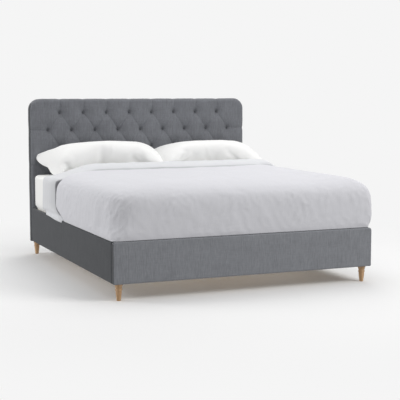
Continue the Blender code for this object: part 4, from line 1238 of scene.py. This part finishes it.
def studio_floor():
    """Pale and shaded near the bed, fading to the backdrop's plain tone further out."""
    steps, reach = 96, np.array([0.0, 1.5, 3.0, 5.0, 8.0, 14.0, 30.0, 90.0])
    angle = np.linspace(0, 2 * math.pi, steps, endpoint=False)
    points = [(0.0, 0.0, 0.0)]
    for r in reach[1:]:
        points += [(r * math.cos(a), r * math.sin(a), 0.0) for a in angle]
    faces = [(0, 1 + k, 1 + (k + 1) % steps) for k in range(steps)]
    for ring in range(len(reach) - 2):
        start = 1 + ring * steps
        for k in range(steps):
            n = (k + 1) % steps
            faces.append((start + k, start + steps + k, start + steps + n, start + n))
    floor = place_object("floor", points, faces)
    n = Nodes("floor", Roughness=0.9, Specular_IOR_Level=0.1, Base_Color=FLOOR_TONE)
    glow = n.add("Emission", Color=(*PALE, 1))
    mix = n.add("MixShader")
    distance = n.add("VectorMath")
    distance.operation = "LENGTH"
    n.link(n.place, distance.inputs[0])
    fade = n.add("MapRange")
    fade.interpolation_type = "SMOOTHSTEP"
    fade.inputs["From Min"].default_value, fade.inputs["From Max"].default_value = FLOOR_FADE
    n.link(distance.outputs["Value"], fade.inputs["Value"])
    n.link(fade.outputs[0], mix.inputs[0])
    n.link(n.shader.outputs[0], mix.inputs[1])
    n.link(glow.outputs[0], mix.inputs[2])
    output = next(x for x in n.tree.nodes if x.type == "OUTPUT_MATERIAL")
    n.link(mix.outputs[0], output.inputs["Surface"])
    floor.data.materials.append(n.material)
    floor.visible_diffuse = floor.visible_glossy = False


def studio_backdrop():
    """A plain dome that only the camera sees."""
    rise = np.linspace(-0.05, math.pi / 2 - 0.001, 24)
    points, quads = turned([(DOME * math.cos(e), DOME * math.sin(e)) for e in rise], 48, (0, 0, 0))
    dome = place_object("backdrop", points, quads.tolist())
    material = bpy.data.materials.new("backdrop")
    material.use_nodes = True
    tree = material.node_tree
    tree.nodes.clear()
    glow = tree.nodes.new("ShaderNodeEmission")
    glow.inputs["Color"].default_value = (*PALE, 1)
    output = tree.nodes.new("ShaderNodeOutputMaterial")
    tree.links.new(glow.outputs[0], output.inputs["Surface"])
    dome.data.materials.append(material)
    for ray in ("diffuse", "glossy", "transmission", "volume_scatter", "shadow"):
        setattr(dome, "visible_" + ray, False)


def soft_light(name, place, target, size, power, colour=(1, 1, 1)):
    lamp = bpy.data.lights.new(name, "AREA")
    lamp.shape = "RECTANGLE"
    lamp.size, lamp.size_y = size
    lamp.energy = power
    lamp.color = colour
    holder = bpy.data.objects.new(name, lamp)
    bpy.context.scene.collection.objects.link(holder)
    holder.location = place
    holder.rotation_euler = (Vector(target) - Vector(place)).to_track_quat("-Z", "Y").to_euler()


studio_floor()
studio_backdrop()
soft_light("key", (4.2, -5.0, 4.6), (0.0, 0.0, 0.5), (4.0, 3.0), 232, (1.0, 0.995, 0.985))
soft_light("top", (0.6, 0.7, 4.4), (0.0, 0.0, 0.0), (3.6, 3.6), 63)
soft_light("left", (-5.5, 1.7, 2.3), (-0.9, 0.0, 0.5), (3.0, 3.0), 125)
soft_light("back", (2.5, 5.0, 3.4), (0.0, 0.5, 0.6), (3.5, 2.5), 60)
world = bpy.data.worlds.new("studio")
bpy.context.scene.world = world
world.use_nodes = True
sky = world.node_tree.nodes["Background"].inputs
sky["Color"].default_value, sky["Strength"].default_value = (1.0, 1.0, 1.0, 1), SKY_STRENGTH
bpy.context.scene.view_settings.view_transform = "Standard"

lens = bpy.data.cameras.new("camera")
lens.sensor_width = 36.0
lens.lens = LENS
lens.clip_start, lens.clip_end = 0.1, 300.0
camera = bpy.data.objects.new("camera", lens)
bpy.context.scene.collection.objects.link(camera)
camera.location = CAMERA_PLACE
camera.rotation_euler = [math.radians(degrees) for degrees in CAMERA_DEGREES]
bpy.context.scene.camera = camera
